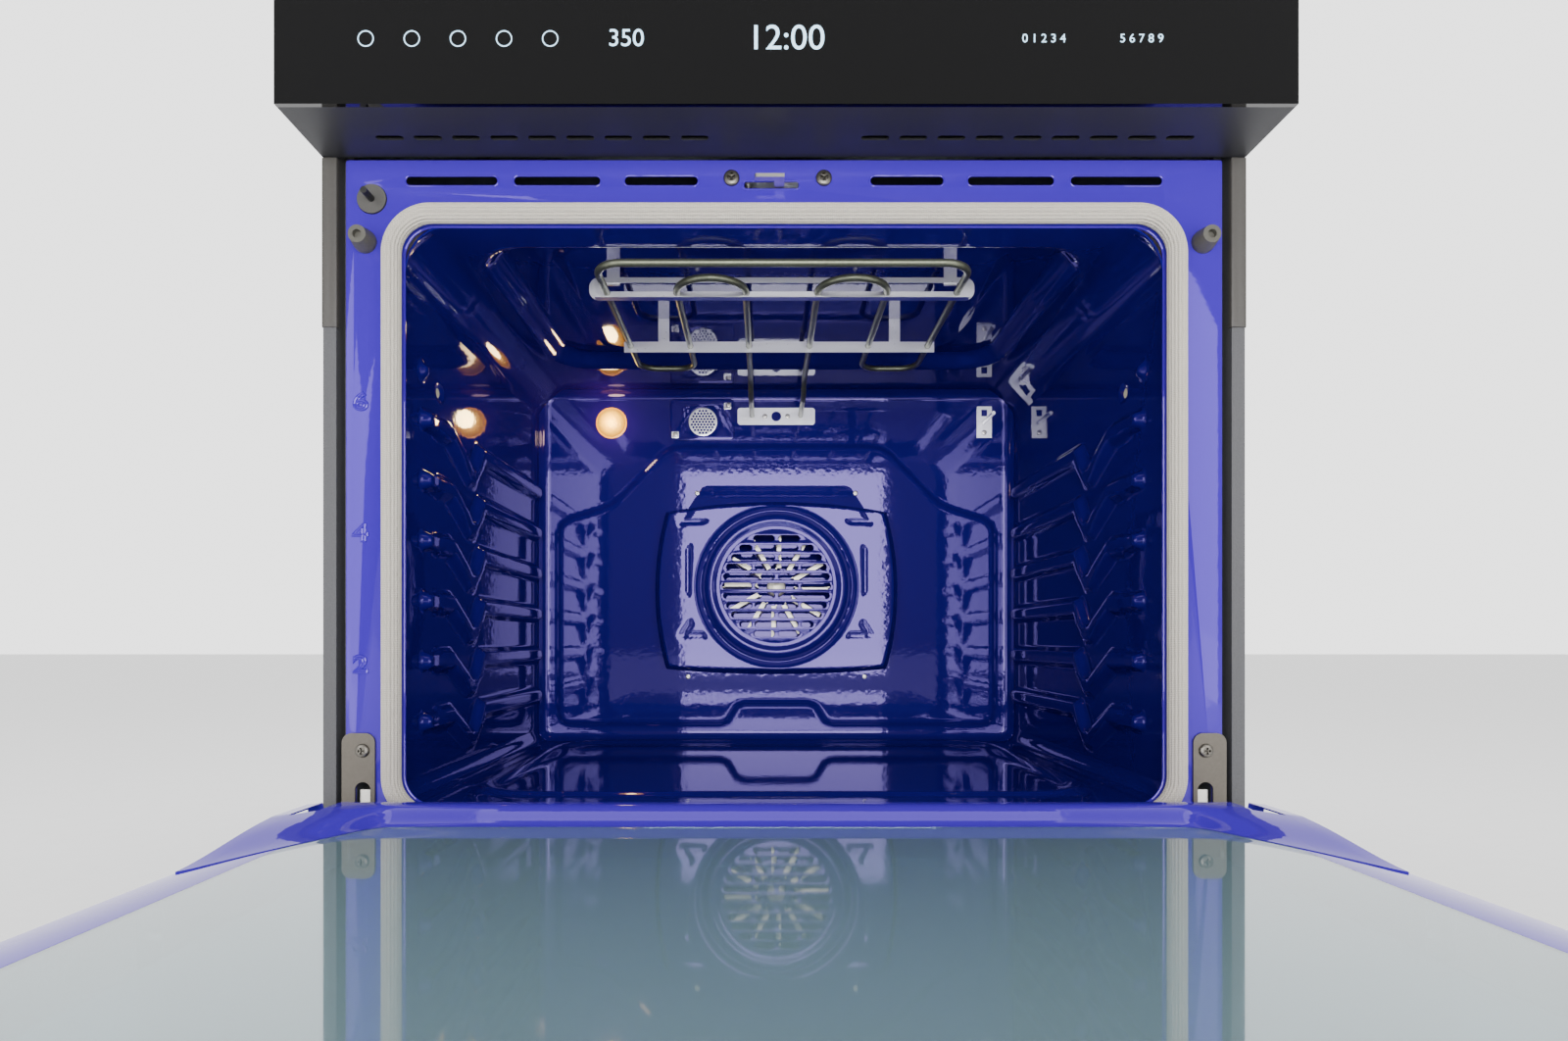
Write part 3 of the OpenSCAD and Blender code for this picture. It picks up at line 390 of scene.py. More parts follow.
def off_box(px, py, low, high, radius):
    """Signed distance to a rounded rectangle, negative inside."""
    cx, cy = (low[0] + high[0]) / 2, (low[1] + high[1]) / 2
    qx = np.abs(px - cx) - (high[0] - low[0]) / 2 + radius
    qy = np.abs(py - cy) - (high[1] - low[1]) / 2 + radius
    return np.hypot(np.maximum(qx, 0), np.maximum(qy, 0)) + np.minimum(np.maximum(qx, qy), 0) - radius


def inside(px, py, points):
    """True where (px, py) is inside the closed line through the points."""
    hit = np.zeros(np.shape(px), bool)
    for (ax, ay), (bx, by) in zip(points, points[1:] + points[:1]):
        crosses = (ay > py) != (by > py)
        at = ax + (bx - ax) * (py - ay) / (by - ay + 1e-12)
        hit ^= crosses & (px < at)
    return hit


print("half way up a soft step:", step(0, 1, 0.5))

# %% [markdown]
# ## Cut plates
# Flat plates with holes come from curves: the outer line and the holes are loops of one filled
# curve, and a small bevel rounds their cut edges, as enamel does when it flows over them.

# %% Rounded outline
def arc_loop(low, high, radius, steps=10):
    """Points of a rounded rectangle."""
    points = []
    corners = [(high[0] - radius, high[1] - radius, 0), (low[0] + radius, high[1] - radius, 90),
               (low[0] + radius, low[1] + radius, 180), (high[0] - radius, low[1] + radius, 270)]
    for cx, cy, start in corners:
        for k in range(steps + 1):
            a = radians(start + 90 * k / steps)
            points.append((cx + radius * cos(a), cy + radius * sin(a)))
    return points


print("a rounded corner has", len(arc_loop((-1, -1), (1, 1), 0.5)) // 4, "points")

# %% [markdown]
# Curves and text are quick to draw but keep no faces of their own. Turning them into plain
# meshes lets every piece be joined, shaded and exported in the same way.

# %% From curve to mesh
def settle(old, name, turn, mat):
    """Turns a curve or text object into a plain mesh object with its place in its mesh."""
    shape = bpy.data.meshes.new_from_object(old.evaluated_get(bpy.context.evaluated_depsgraph_get()))
    shape.name = name
    shape.transform(turn)
    shape.materials.clear()
    shape.materials.append(mat)
    for face in shape.polygons:
        face.material_index = 0
    shape.shade_smooth()
    work = bmesh.new()
    work.from_mesh(shape)
    bmesh.ops.remove_doubles(work, verts=work.verts, dist=1e-6)
    bmesh.ops.recalc_face_normals(work, faces=work.faces)
    work.to_mesh(shape)
    work.free()
    shape.set_sharp_from_angle(angle=CUT_CREASE)
    made = bpy.data.objects.new(name, shape)
    scene.collection.objects.link(made)
    bpy.data.objects.remove(old)
    return made


print("mesh maker ready:", settle.__name__)

# %% [markdown]
# The outlines are drawn flat on the ground, like a cutting plan, and stood up afterwards. Parts
# that are welded or clipped into one piece are joined, so that each piece stays one object.

# %% Flat plates
def flat_curve(loops, thickness, bevel, solid=True):
    """A curve object in metres from loops in millimetres: a plate with holes, or round rims if not solid."""
    data = bpy.data.curves.new("outline", "CURVE")
    data.dimensions = "2D" if solid else "3D"
    data.fill_mode = "BOTH" if solid else "FULL"
    for loop in loops:
        line = data.splines.new("POLY")
        line.points.add(len(loop) - 1)
        for point, (x, y) in zip(line.points, loop):
            point.co = (x * MM, y * MM, 0, 1)
        line.use_cyclic_u = True
    data.extrude = max(thickness / 2 - bevel, 0) * MM if solid else 0
    data.bevel_depth = bevel * MM
    data.bevel_resolution = 2
    data.offset = -bevel * MM if solid else 0
    made = bpy.data.objects.new("outline", data)
    scene.collection.objects.link(made)
    bpy.context.view_layer.update()
    return made


UPRIGHT = Matrix.Rotation(radians(90), 4, "X")


def at_place(x, y, z):
    """The move to a place in millimetres."""
    return Matrix.Translation((x * MM, y * MM, z * MM))


def upright(y):
    """Stands a plate up with X across and Z up, its middle at depth y in millimetres."""
    return at_place(0, y, 0) @ UPRIGHT


def joined(name, parts):
    """One object from several, which all sit at the origin."""
    work = bmesh.new()
    for part in parts:
        work.from_mesh(part.data)
    base = parts[0]
    work.to_mesh(base.data)
    work.free()
    base.name = name
    base.data.name = name
    for part in parts[1:]:
        bpy.data.objects.remove(part)
    return base


print("a plate at depth 5 mm stands at", tuple(round(c, 4) for c in upright(5).translation))

# %% [markdown]
# ## Repeated pieces with Geometry Nodes
# A tree takes points and puts one part on each of them, turned as each point says.
# It ends by making the copies real and giving them their material.

# %% Scatter tree
def scatter_tree():
    """The tree that puts a part on every point."""
    tree = bpy.data.node_groups.new("part on every point", "GeometryNodeTree")
    face = tree.interface
    face.new_socket("Points", in_out="INPUT", socket_type="NodeSocketGeometry")
    face.new_socket("Part", in_out="INPUT", socket_type="NodeSocketObject")
    face.new_socket("Size", in_out="INPUT", socket_type="NodeSocketFloat")
    face.new_socket("Finish", in_out="INPUT", socket_type="NodeSocketMaterial")
    face.new_socket("Result", in_out="OUTPUT", socket_type="NodeSocketGeometry")
    start = add(tree, "NodeGroupInput")
    part = add(tree, "GeometryNodeObjectInfo", {"Object": start.outputs["Part"]})
    turn = add(tree, "GeometryNodeInputNamedAttribute", {"Name": "turn"}, data_type="FLOAT_VECTOR")
    put = add(tree, "GeometryNodeInstanceOnPoints", {
        "Points": start.outputs["Points"], "Instance": part.outputs["Geometry"],
        "Rotation": turn.outputs["Attribute"], "Scale": start.outputs["Size"]})
    real = add(tree, "GeometryNodeRealizeInstances", {"Geometry": put.outputs["Instances"]})
    paint = add(tree, "GeometryNodeSetMaterial", {"Geometry": real.outputs["Geometry"],
                                                   "Material": start.outputs["Finish"]})
    add(tree, "NodeGroupOutput", {"Result": paint.outputs["Geometry"]})
    return tree


def run_tree(name, tree, source, values, mat):
    """Runs a tree on an object with named inputs and keeps the result as a plain mesh object."""
    modifier = source.modifiers.new("tree", "NODES")
    modifier.node_group = tree
    sockets = {s.name: s.identifier for s in tree.interface.items_tree if s.in_out == "INPUT"}
    for key, value in values.items():
        modifier[sockets[key]] = value
    bpy.context.view_layer.update()
    return settle(source, name, Matrix.Identity(4), mat)


def scatter(name, part, places, turns, size, mat):
    """Copies of part at places in millimetres, turned by Euler angles."""
    mesh = bpy.data.meshes.new("points")
    mesh.from_pydata([tuple(c * MM for c in p) for p in places], [], [])
    turn = mesh.attributes.new("turn", "FLOAT_VECTOR", "POINT")
    for k, angles in enumerate(turns):
        turn.data[k].vector = angles
    source = bpy.data.objects.new("points", mesh)
    scene.collection.objects.link(source)
    return run_tree(name, SCATTER, source, {"Part": part, "Size": size, "Finish": mat}, mat)


SCATTER = scatter_tree()
print("tree", SCATTER.name)

# %% [markdown]
# ## Cavity
# The wrap is one long sheet bent round and pressed: rack guides in the sides, a raised pan in
# the ceiling, a shallow well in the floor. It is made as four sheets that meet in smooth lines.

# %% Cavity measures
wrap_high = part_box("cavity_wrap")[1]
gasket_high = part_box("door_gasket")[1]
fan_low, fan_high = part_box("convection_fan")
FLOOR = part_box("door_inner_glass")[1][2] / MM
SHEET = 1.5
WALL = wrap_high[0] / MM - SHEET
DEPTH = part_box("cavity_back")[0][1] / MM
SEAL = 15.7
ROOF = gasket_high[2] / MM - SEAL + 0.5
MOUTH = gasket_high[0] / MM - SEAL + 0.5
FAN_Z = (fan_low[2] + fan_high[2]) / 2 / MM
LOW_R, TOP_R = 16, 40
RIB = 8
FIRST_RACK, PITCH, RACKS = FLOOR + 63.8, 53.8, 6
# points close together at the mouth and the guides' fronts, wider apart behind them
depths = np.concatenate([np.linspace(1.5, 20, 10), np.linspace(22, 80, 48),
                         np.linspace(82.5, DEPTH + 1, 112)])
print("opening half width", round(MOUTH, 1), "floor", round(FLOOR, 1), "roof", round(ROOF, 1))

# %% [markdown]
# ## Side walls
# Six guides on each wall carry the racks. Each runs back, dips for a short stretch and goes on to
# the back panel. The distance to that bent line says how far the press has pushed the sheet in,
# and the push fades a little towards the guide's underside, like a shelf's.


# %% Side walls
def wall_push(z, y):
    """How far the press pushes a side wall into the cavity."""
    push = (WALL - MOUTH) * (1 - step(2, 15, y))
    for k in range(RACKS):
        mid = FIRST_RACK + k * PITCH - 1
        line = [(60, mid), (118, mid), (170, mid - 28), (184, mid - 28), (204, mid), (DEPTH - 30, mid)]
        blunt = step(75, 95, y)
        rib = 1 - step(4.5, 9.5 + 3.5 * blunt, off_line(y, z, line))
        shelf = 1 - 0.35 * step(mid - 12, mid - 34, z)
        front = 1 + 0.12 * hump(y - 60, 12)
        push = np.maximum(push, RIB * rib * shelf * front)
    top = np.hypot(y - 57, z - (FIRST_RACK + RACKS * PITCH - 12))
    push = np.maximum(push, 6 * (1 - step(2, 10, top)))
    dimple = np.hypot(y - 98, z - 478)
    return push - 2.5 * (1 - step(3, 9, dimple)) * (push < 1)


heights = np.linspace(FLOOR + LOW_R, ROOF - TOP_R, 230)
zz, yy = np.meshgrid(heights, depths, indexing="ij")
cavity_parts = []
for side in (-1, 1):
    xx = side * (WALL - wall_push(zz, yy))
    grid = np.stack([xx, yy, zz], axis=2)
    if side < 0:
        grid = grid[::-1]
    cavity_parts.append(pressed("wall_left" if side < 0 else "wall_right", grid, SHEET, cavity_enamel_painted_shade))
print("walls", [len(p.data.polygons) for p in cavity_parts])

# %% [markdown]
# ## Ceiling and floor
# Both are flat sheets whose ends bend into the side walls. The ceiling has a deep raised pan for
# the grill element, and the floor a very shallow one with a bead round it, so the sheet can
# swell with heat without popping.

# %% Ceiling and floor
def bent_sheet(name, radius, level, up, flat_push, columns):
    """A sheet across the cavity whose two ends bend up or down into the walls."""
    arc = np.linspace(0, pi / 2, 9)[:-1]
    reach = WALL - radius
    xs = [-WALL + radius * (1 - cos(a)) for a in arc]
    zs = [radius * (1 - sin(a)) for a in arc]
    lean = [cos(a) for a in arc]
    flat = list(np.linspace(-reach, reach, columns))
    across = np.array(xs + flat + [-x for x in reversed(xs)])
    rise = np.array(zs + [0] * columns + list(reversed(zs)))
    tilt = np.array(lean + [0] * columns + list(reversed(lean)))
    ax, ay = np.meshgrid(across, depths, indexing="ij")
    rz = np.repeat(rise[:, None], len(depths), axis=1)
    narrow = (WALL - MOUTH) * (1 - step(2, 15, ay)) * tilt[:, None]
    z = level - up * rz + up * flat_push(ax, ay)
    grid = np.stack([ax - np.sign(ax) * narrow, ay, z], axis=2)
    if up < 0:
        grid = grid[::-1]
    return pressed(name, grid[::-1], SHEET, cavity_enamel_painted_shade)


def ceiling_push(x, y):
    """How far the ceiling is raised."""
    pan = 1 - step(-13, 3, off_box(x, y, (-267, 38), (267, DEPTH - 100), 46))
    well = 1 - step(-3, 3, off_box(x, y, (-205, 60), (205, DEPTH - 130), 30))
    return 15 * pan - 2 * well


def floor_push(x, y):
    """How far the floor is sunk, and raised where the result is negative."""
    bead = off_box(x, y, (-268, 56), (268, DEPTH - 30), 52)
    return 1.8 * (1 - step(-12, 4, bead)) - 3.5 * hump(bead - 8, 9)


cavity_parts.append(bent_sheet("ceiling", TOP_R, ROOF, 1, ceiling_push, 130))
cavity_parts.append(bent_sheet("floor", LOW_R, FLOOR, -1, floor_push, 110))
for part in cavity_parts:
    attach(part, "chassis")
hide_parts("cavity_wrap")
print("ceiling and floor made")

# %% [markdown]
# ## Back panel
# The back panel is pressed too: a large raised field with bevelled edges stiffens it, and a
# round pot behind the fan cover gives the fan its room.

# %% Back panel
FIELD = [(-126, 510), (126, 510), (140, 508), (154, 500), (206, 446), (222, 432), (240, 424), (280, 412),
         (291, 404), (295, 392), (295, 148), (291, 138), (280, 134), (76, 134), (66, 138), (54, 158),
         (44, 162), (-44, 162), (-54, 158), (-66, 138), (-76, 134), (-280, 134), (-291, 138), (-295, 148),
         (-295, 392), (-291, 404), (-280, 412), (-240, 424), (-222, 432), (-206, 446), (-154, 500),
         (-140, 508)]
xs = np.linspace(-WALL - 1, WALL + 1, 206)
zs = np.linspace(FLOOR - 1, ROOF + 1, 156)
bx, bz = np.meshgrid(xs, zs, indexing="ij")
edge = off_line(bx, bz, FIELD, closed=True) * np.where(inside(bx, bz, FIELD), 1, -1)
raised = 5 * step(-4, 4, edge)
near_wall = np.clip(-off_box(bx, bz, (-WALL, FLOOR), (WALL, ROOF), 18), 0, 12)
fillet = 12 - np.sqrt(144 - (12 - near_wall) ** 2)
pot = 23 * (1 - step(100, 108, np.hypot(bx, bz - FAN_Z)))
grid = np.stack([bx, DEPTH + SHEET - 0.5 - raised - fillet + pot, bz], axis=2)
back_panel = pressed("back_panel", grid[::-1], SHEET, cavity_enamel_painted_shade)
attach(back_panel, "chassis")
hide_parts("cavity_back")
print("back panel faces", len(back_panel.data.polygons))

# %% [markdown]
# ## Fan cover
# The cover is a drawn tray with barrel-shaped sides. Its front has a round groove and a
# slotted grille, punched after drawing, through which the fan pulls air.

# %% Fan cover
COVER_RISE, GRILLE_R = 20, 76


def barrel(angle, grow):
    """Distance from the fan's axis to the edge of the cover in one direction."""
    low, high = 0.0, 400.0
    for _ in range(30):
        mid = (low + high) / 2
        x, z = mid * cos(angle), mid * sin(angle)
        out = max(np.hypot(x + 223, z + 5) - 389, np.hypot(x - 223, z + 5) - 389,
                  np.hypot(x, z + 630.4) - 748, np.hypot(x, z - 1308.6) - 1429)
        low, high = (mid, high) if out < grow else (low, mid)
    return low


ROUND = 264
angles = np.arange(ROUND) * 2 * pi / ROUND
body_edge = np.array([barrel(a, 0) for a in angles])
brim_edge = np.array([barrel(a, 9) for a in angles])
MARKS = [[(98, 86), (126, 86), (116, 104)], [(98, -66), (126, -66), (116, -50)],
         [(-98, 86), (-126, 86), (-116, 104)], [(-98, -66), (-126, -66), (-116, -50)],
         [(118, 50), (118, -8)], [(-118, 50), (-118, -8)]]
rings = []
for share in np.concatenate([np.linspace(0, 1, 56), 1 + np.linspace(0.1, 1, 5)]):
    inner = GRILLE_R + (body_edge - GRILLE_R) * min(share, 1)
    radius = inner if share <= 1 else body_edge + (brim_edge - body_edge) * (share - 1)
    x, z = radius * np.cos(angles), radius * np.sin(angles)
    level = COVER_RISE * step(0, 11, body_edge - radius) + 1.5
    level = level - 6 * hump(radius - 101, 5) + 2.0 * hump(radius - 88, 6)
    for mark in MARKS:
        level = level - 1.2 * hump(off_line(x, z, mark), 3)
    rings.append(np.stack([x, DEPTH - 5 - np.maximum(level, 1.5) + 3, z + FAN_Z], axis=1))
cover = pressed("fan_cover_tray", np.array(rings), 1.2, cavity_enamel_painted_shade, wrap=True)
print("tray faces", len(cover.data.polygons))

# %% [markdown]
# The grille is a punched disc: eleven rows of round-ended slots, cut short by the circle, with
# thin bridges that change place from row to row so that the disc stays stiff.

# %% Grille
slots = []
for row in range(-5, 6):
    z, half = row * 12.7, 4.2
    end = sqrt(72.5 ** 2 - (abs(z) + 2.2) ** 2)
    spans = [(-end, -2.7), (2.7, end)] if row % 2 else [(-end, -33), (-29, 29), (33, end)]
    for a, b in spans:
        a, b = max(a, -end), min(b, end)
        if b - a > 2 * half:
            slots.append([(x, y + z) for x, y in arc_loop((a, -half), (b, half), half - 0.05, 6)])
disc = [(GRILLE_R * cos(a) * 1.01, GRILLE_R * sin(a) * 1.01) for a in angles[::3]]
front_y = rings[0][0][1]
grille = settle(flat_curve([disc] + slots, 1.6, 0.5), "fan_grille",
                at_place(0, front_y + 1.0, FAN_Z) @ UPRIGHT, cavity_enamel_painted_shade)
flap = settle(flat_curve([[(-128, 92), (-101, 134), (-94, 137), (94, 137), (101, 134), (128, 92)]], 1.4, 0.4),
              "flap", at_place(0, DEPTH - 6.0, FAN_Z) @ UPRIGHT, cavity_enamel_painted_shade)
cover = joined("fan_cover_tray", [cover, grille, flap])
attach(cover, "chassis")
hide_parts("fan_cover")
print("grille slots", len(slots))

# %% [markdown]
# ## Front frame
# The frame is a flat plate with the big opening, a row of cooling slots with rolled rims, the
# hook's slot and two hinge slots. Outlined rack numbers are pressed beside the opening.

# %% Front frame
frame_low, frame_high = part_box("front_frame")
HALF = frame_high[0] / MM
TOP = frame_high[2] / MM
SLOT_Z, SLOT_H = ROOF + 38, 8.7
opening = arc_loop((-MOUTH, FLOOR), (MOUTH, ROOF), 25, 16)
vents = []
for a, b in ((70, 131.3), (149.9, 221.9), (234.2, 310.5)):
    for low, high in ((a, b), (-b, -a)):
        vents.append(arc_loop((low, SLOT_Z - SLOT_H / 2), (high, SLOT_Z + SLOT_H / 2), 4.3, 6))
hook_slot = arc_loop((-33.4, ROOF + 31), (12.6, ROOF + 38), 2.5, 5)
hinge_slots = [arc_loop((s * 344.3 - 6.4, 58), (s * 344.3 + 6.4, 130.8), 6.2, 6) for s in (-1, 1)]
switch_hole = [(-337.7 + 12.3 * cos(a), ROOF + 23 + 12.3 * sin(a)) for a in angles[::8]]
outer = arc_loop((-HALF, frame_low[2] / MM), (HALF, TOP), 2, 3)
plate = settle(flat_curve([outer, opening, hook_slot, switch_hole] + vents + hinge_slots, 1.5, 0.45),
               "front_frame_plate", upright(0.75), frame_enamel)
rims = settle(flat_curve(vents + [hook_slot], 0, 0.9, solid=False), "slot_rims", upright(0.35), frame_enamel)
lip_line = arc_loop((-MOUTH - 0.6, FLOOR - 0.6), (MOUTH + 0.6, ROOF + 0.6), 25.6, 16)
lip = settle(flat_curve([lip_line], 0, 1.1, solid=False), "opening_lip", upright(0.9), frame_enamel)
collar_rows = []
for depth in (0.6, 1.2, 2.0):
    collar_rows.append([(x, depth, z) for x, z in opening[::-1]])
collar = pressed("opening_collar", np.array(collar_rows), 0.8, frame_enamel, wrap=True)
print("vents", len(vents))

# %% [markdown]
# A number beside every second guide tells the cook the rack's place. Each is only an outline,
# pressed into the sheet, so the font's outline gets a small round bevel and no fill.

# %% Rack numbers
NUMBER_X, NUMBER_DROP, NUMBER_SIZE, NUMBER_WIDEN = -347, 8.4, 0.0195, 1.25
numbers = []
for k, figure in ((1, "2"), (3, "4"), (5, "6")):
    text = bpy.data.curves.new("rack number", "FONT")
    text.body = figure
    text.size = NUMBER_SIZE
    text.align_x = "CENTER"
    text.fill_mode = "NONE"
    text.bevel_depth = 0.0012
    text.bevel_resolution = 2
    number = bpy.data.objects.new("rack number", text)
    scene.collection.objects.link(number)
    bpy.context.view_layer.update()
    widen = Matrix.Diagonal((NUMBER_WIDEN, 1, 1, 1))
    turn = at_place(NUMBER_X, 0, FIRST_RACK + k * PITCH - NUMBER_DROP) @ UPRIGHT @ widen
    numbers.append(settle(number, "rack_number_" + figure, turn, frame_enamel))
plate = joined("front_frame_plate", [plate, rims, lip, collar] + numbers)
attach(plate, "chassis")
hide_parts("front_frame")
print("front frame faces", len(plate.data.polygons))

# %% [markdown]
# ## Door seal
# The braided hose runs round the opening. A tree sweeps a round section along the path and
# draws its outline in and out a little, which gives the threads that run along the hose.

# %% Seal tree
def seal_tree():
    """The tree that sweeps a threaded round section along a path."""
    tree = bpy.data.node_groups.new("hose along a path", "GeometryNodeTree")
    face = tree.interface
    face.new_socket("Path", in_out="INPUT", socket_type="NodeSocketGeometry")
    face.new_socket("Radius", in_out="INPUT", socket_type="NodeSocketFloat")
    face.new_socket("Thread depth", in_out="INPUT", socket_type="NodeSocketFloat")
    face.new_socket("Threads", in_out="INPUT", socket_type="NodeSocketFloat")
    face.new_socket("Finish", in_out="INPUT", socket_type="NodeSocketMaterial")
    face.new_socket("Result", in_out="OUTPUT", socket_type="NodeSocketGeometry")
    start = add(tree, "NodeGroupInput")
    path = add(tree, "GeometryNodeMeshToCurve", {"Mesh": start.outputs["Path"]})
    ring = add(tree, "GeometryNodeCurvePrimitiveCircle", {"Resolution": 96,
                                                           "Radius": start.outputs["Radius"]})
    where = add(tree, "GeometryNodeInputPosition")
    split = add(tree, "ShaderNodeSeparateXYZ", {"Vector": where.outputs["Position"]})
    angle = add(tree, "ShaderNodeMath", {0: split.outputs["Y"], 1: split.outputs["X"]}, operation="ARCTAN2")
    phase = add(tree, "ShaderNodeMath", {0: angle.outputs["Value"], 1: start.outputs["Threads"]},
                operation="MULTIPLY")
    wave = add(tree, "ShaderNodeMath", {0: phase.outputs["Value"]}, operation="SINE")
    depth = add(tree, "ShaderNodeMath", {0: wave.outputs["Value"], 1: start.outputs["Thread depth"]},
                operation="MULTIPLY")
    out = add(tree, "ShaderNodeVectorMath", {0: where.outputs["Position"]}, operation="NORMALIZE")
    push = add(tree, "ShaderNodeVectorMath", {0: out.outputs["Vector"], "Scale": depth.outputs["Value"]},
               operation="SCALE")
    moved = add(tree, "GeometryNodeSetPosition", {"Geometry": ring.outputs["Curve"],
                                                   "Offset": push.outputs["Vector"]})
    sweep = add(tree, "GeometryNodeCurveToMesh", {"Curve": path.outputs["Curve"],
                                                   "Profile Curve": moved.outputs["Geometry"]})
    real = add(tree, "GeometryNodeRealizeInstances", {"Geometry": sweep.outputs["Mesh"]})
    paint = add(tree, "GeometryNodeSetMaterial", {"Geometry": real.outputs["Geometry"],
                                                   "Material": start.outputs["Finish"]})
    add(tree, "NodeGroupOutput", {"Result": paint.outputs["Geometry"]})
    return tree


hose = seal_tree()
print("tree", hose.name)

# %% [markdown]
# The path follows the opening at half the hose's width, with a point every 12 mm so that the
# straight stretches bend evenly.

# %% Seal
SEAL_R, THREAD_DEPTH, THREADS, PATH_STEP = 0.0074, 0.0004, 18.0, 12
mid = SEAL / 2 - 0.2
loop = arc_loop((-MOUTH - mid, FLOOR - mid), (MOUTH + mid, ROOF + mid), 25 + mid, 20)
path_points = []
for (x0, z0), (x1, z1) in zip(loop, loop[1:] + loop[:1]):
    count = max(1, int(np.hypot(x1 - x0, z1 - z0) / PATH_STEP))
    path_points += [(x0 + (x1 - x0) * k / count, -SEAL / 2 + 0.3, z0 + (z1 - z0) * k / count)
                    for k in range(count)]
ring_mesh = bpy.data.meshes.new("seal path")
ring_mesh.from_pydata([tuple(c * MM for c in p) for p in path_points],
                      [(k, (k + 1) % len(path_points)) for k in range(len(path_points))], [])
ring_object = bpy.data.objects.new("seal path", ring_mesh)
scene.collection.objects.link(ring_object)
seal = run_tree("woven_seal", hose, ring_object,
                {"Radius": SEAL_R, "Thread depth": THREAD_DEPTH, "Threads": THREADS, "Finish": braid}, braid)
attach(seal, "chassis")
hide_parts("door_gasket")
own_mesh(seal)
print("seal faces", len(seal.data.polygons))

# %% [markdown]
# ## Screws
# Pan-head screws with a cross recess. The head is turned from a profile, and its innermost ring
# is pulled in and down between the four arms, which sinks the cross. It is made once, a
# thousandth of a metre in radius, so that the size given to the tree is its radius in millimetres.

# %% Screw head
def screw_head(name, radius, height, mat):
    """A pan head on the XY plane with a cross recess, its top along +Z, in metres."""
    ring_list = [(1.0, 0.0), (1.0, 0.35), (0.95, 0.62), (0.82, 0.85), (0.62, 0.97), (0.5, 1.0)]
    count = 24
    verts = []
    for r, h in ring_list:
        for k in range(count):
            a = 2 * pi * k / count
            verts.append((radius * r * cos(a), radius * r * sin(a), height * h))
    for k in range(count):
        a = 2 * pi * k / count
        arm = 0.42 if k % 6 in (0, 5, 1) else 0.16
        deep = 0.35 if k % 6 in (0, 5, 1) else 0.95
        verts.append((radius * arm * cos(a), radius * arm * sin(a), height * deep))
    verts += [(0, 0, 0.3 * height), (0, 0, 0)]
    faces = []
    for i in range(len(ring_list)):
        for k in range(count):
            a, b = i * count + k, i * count + (k + 1) % count
            faces.append((a, b, b + count, a + count))
    top = len(ring_list) * count
    for k in range(count):
        faces.append((top + k, top + (k + 1) % count, len(verts) - 2))
        faces.append(((k + 1) % count, k, len(verts) - 1))
    mesh = bpy.data.meshes.new(name)
    mesh.from_pydata(verts, [], faces)
    mesh.materials.append(mat)
    made = bpy.data.objects.new(name, mesh)
    scene.collection.objects.link(made)
    return made


pan_head = screw_head("pan head", 0.001, 0.00045, screw_steel)
print("head faces", len(pan_head.data.polygons))

# %% [markdown]
# The tree puts a head on each place. Two hold the hook's plate and two the hinge plates, with
# larger dark heads; the paler ones inside hold the fan cover, the vent, the element and the probe.

# %% Screws
FACING = (radians(90), 0, 0)
FRAME_HEAD_R, HINGE_HEAD_R, CAVITY_HEAD_R = 6.6, 5.7, 3.4
front_places = [(-43, 0, SLOT_Z + 2), (32.6, 0, SLOT_Z + 2)]
hinge_places = [(-344.5, -2, 156.5), (344.5, -2, 156.5)]
frame_heads = scatter("frame_screw_heads", pan_head, front_places, [FACING] * 2, FRAME_HEAD_R, screw_steel)
plate_heads = scatter("hinge_screw_heads", pan_head, hinge_places, [FACING] * 2, HINGE_HEAD_R, screw_steel)
frame_heads = joined("frame_screw_heads", [frame_heads, plate_heads])
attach(frame_heads, "chassis")
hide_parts("frame_screws")

back_places = [(-107, DEPTH - 7, FAN_Z + 126.6), (107, DEPTH - 7, FAN_Z + 126.6),
               (-119.5, DEPTH - 6, FAN_Z - 121.4), (119.5, DEPTH - 6, FAN_Z - 121.4),
               (-136.7, DEPTH - 3, ROOF - 58.5), (-64.7, DEPTH - 3, ROOF - 18.5),
               (-15.5, DEPTH - 1.5, ROOF - 33.5), (15.5, DEPTH - 1.5, ROOF - 33.5),
               (282.7, DEPTH - 1.5, ROOF - 55.5)]
back_heads = scatter("cavity_screw_heads", pan_head, back_places, [FACING] * len(back_places), CAVITY_HEAD_R,
                     light_screw)
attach(back_heads, "chassis")
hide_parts("cavity_screws")
bpy.data.objects.remove(pan_head)
print("screw heads", len(front_places) + len(hinge_places) + len(back_places))

# %% [markdown]
# ## Door liner
# Along the door's hinge side the enamelled liner rises to a smooth ridge, whose back follows a
# circle about the hinge so that it clears the frame. At both ends it sweeps away along the door.

# %% Ridge outline
HINGE_Y, HINGE_Z, CLEAR_R = -57, 70, 54.4
CREST = FLOOR + 12.7
# half the ridge, mirrored: at each distance from the middle, where its back, crest and foot lie
BACK_X = [0, 314, 330, 351, 359]
BACK_Y = [-17, -17, -27, -52, -60]
CREST_X = [0, 284, 314, 322, 332, 339, 346.5, 359]
CREST_Y = [-63, -63, -64, -67, -73, -80, -91, -112]
FOOT_X = [0, 272, 296, 304, 311, 324, 340, 359]
FOOT_Y = [-79, -79, -81, -92, -106, -128, -160, -205]


def eased(x, knots, levels):
    """Interpolates between the knots and rounds each bend over 12 mm."""
    return sum(np.interp(x + d, knots, levels) for d in (-6, -3, 0, 3, 6)) / 5


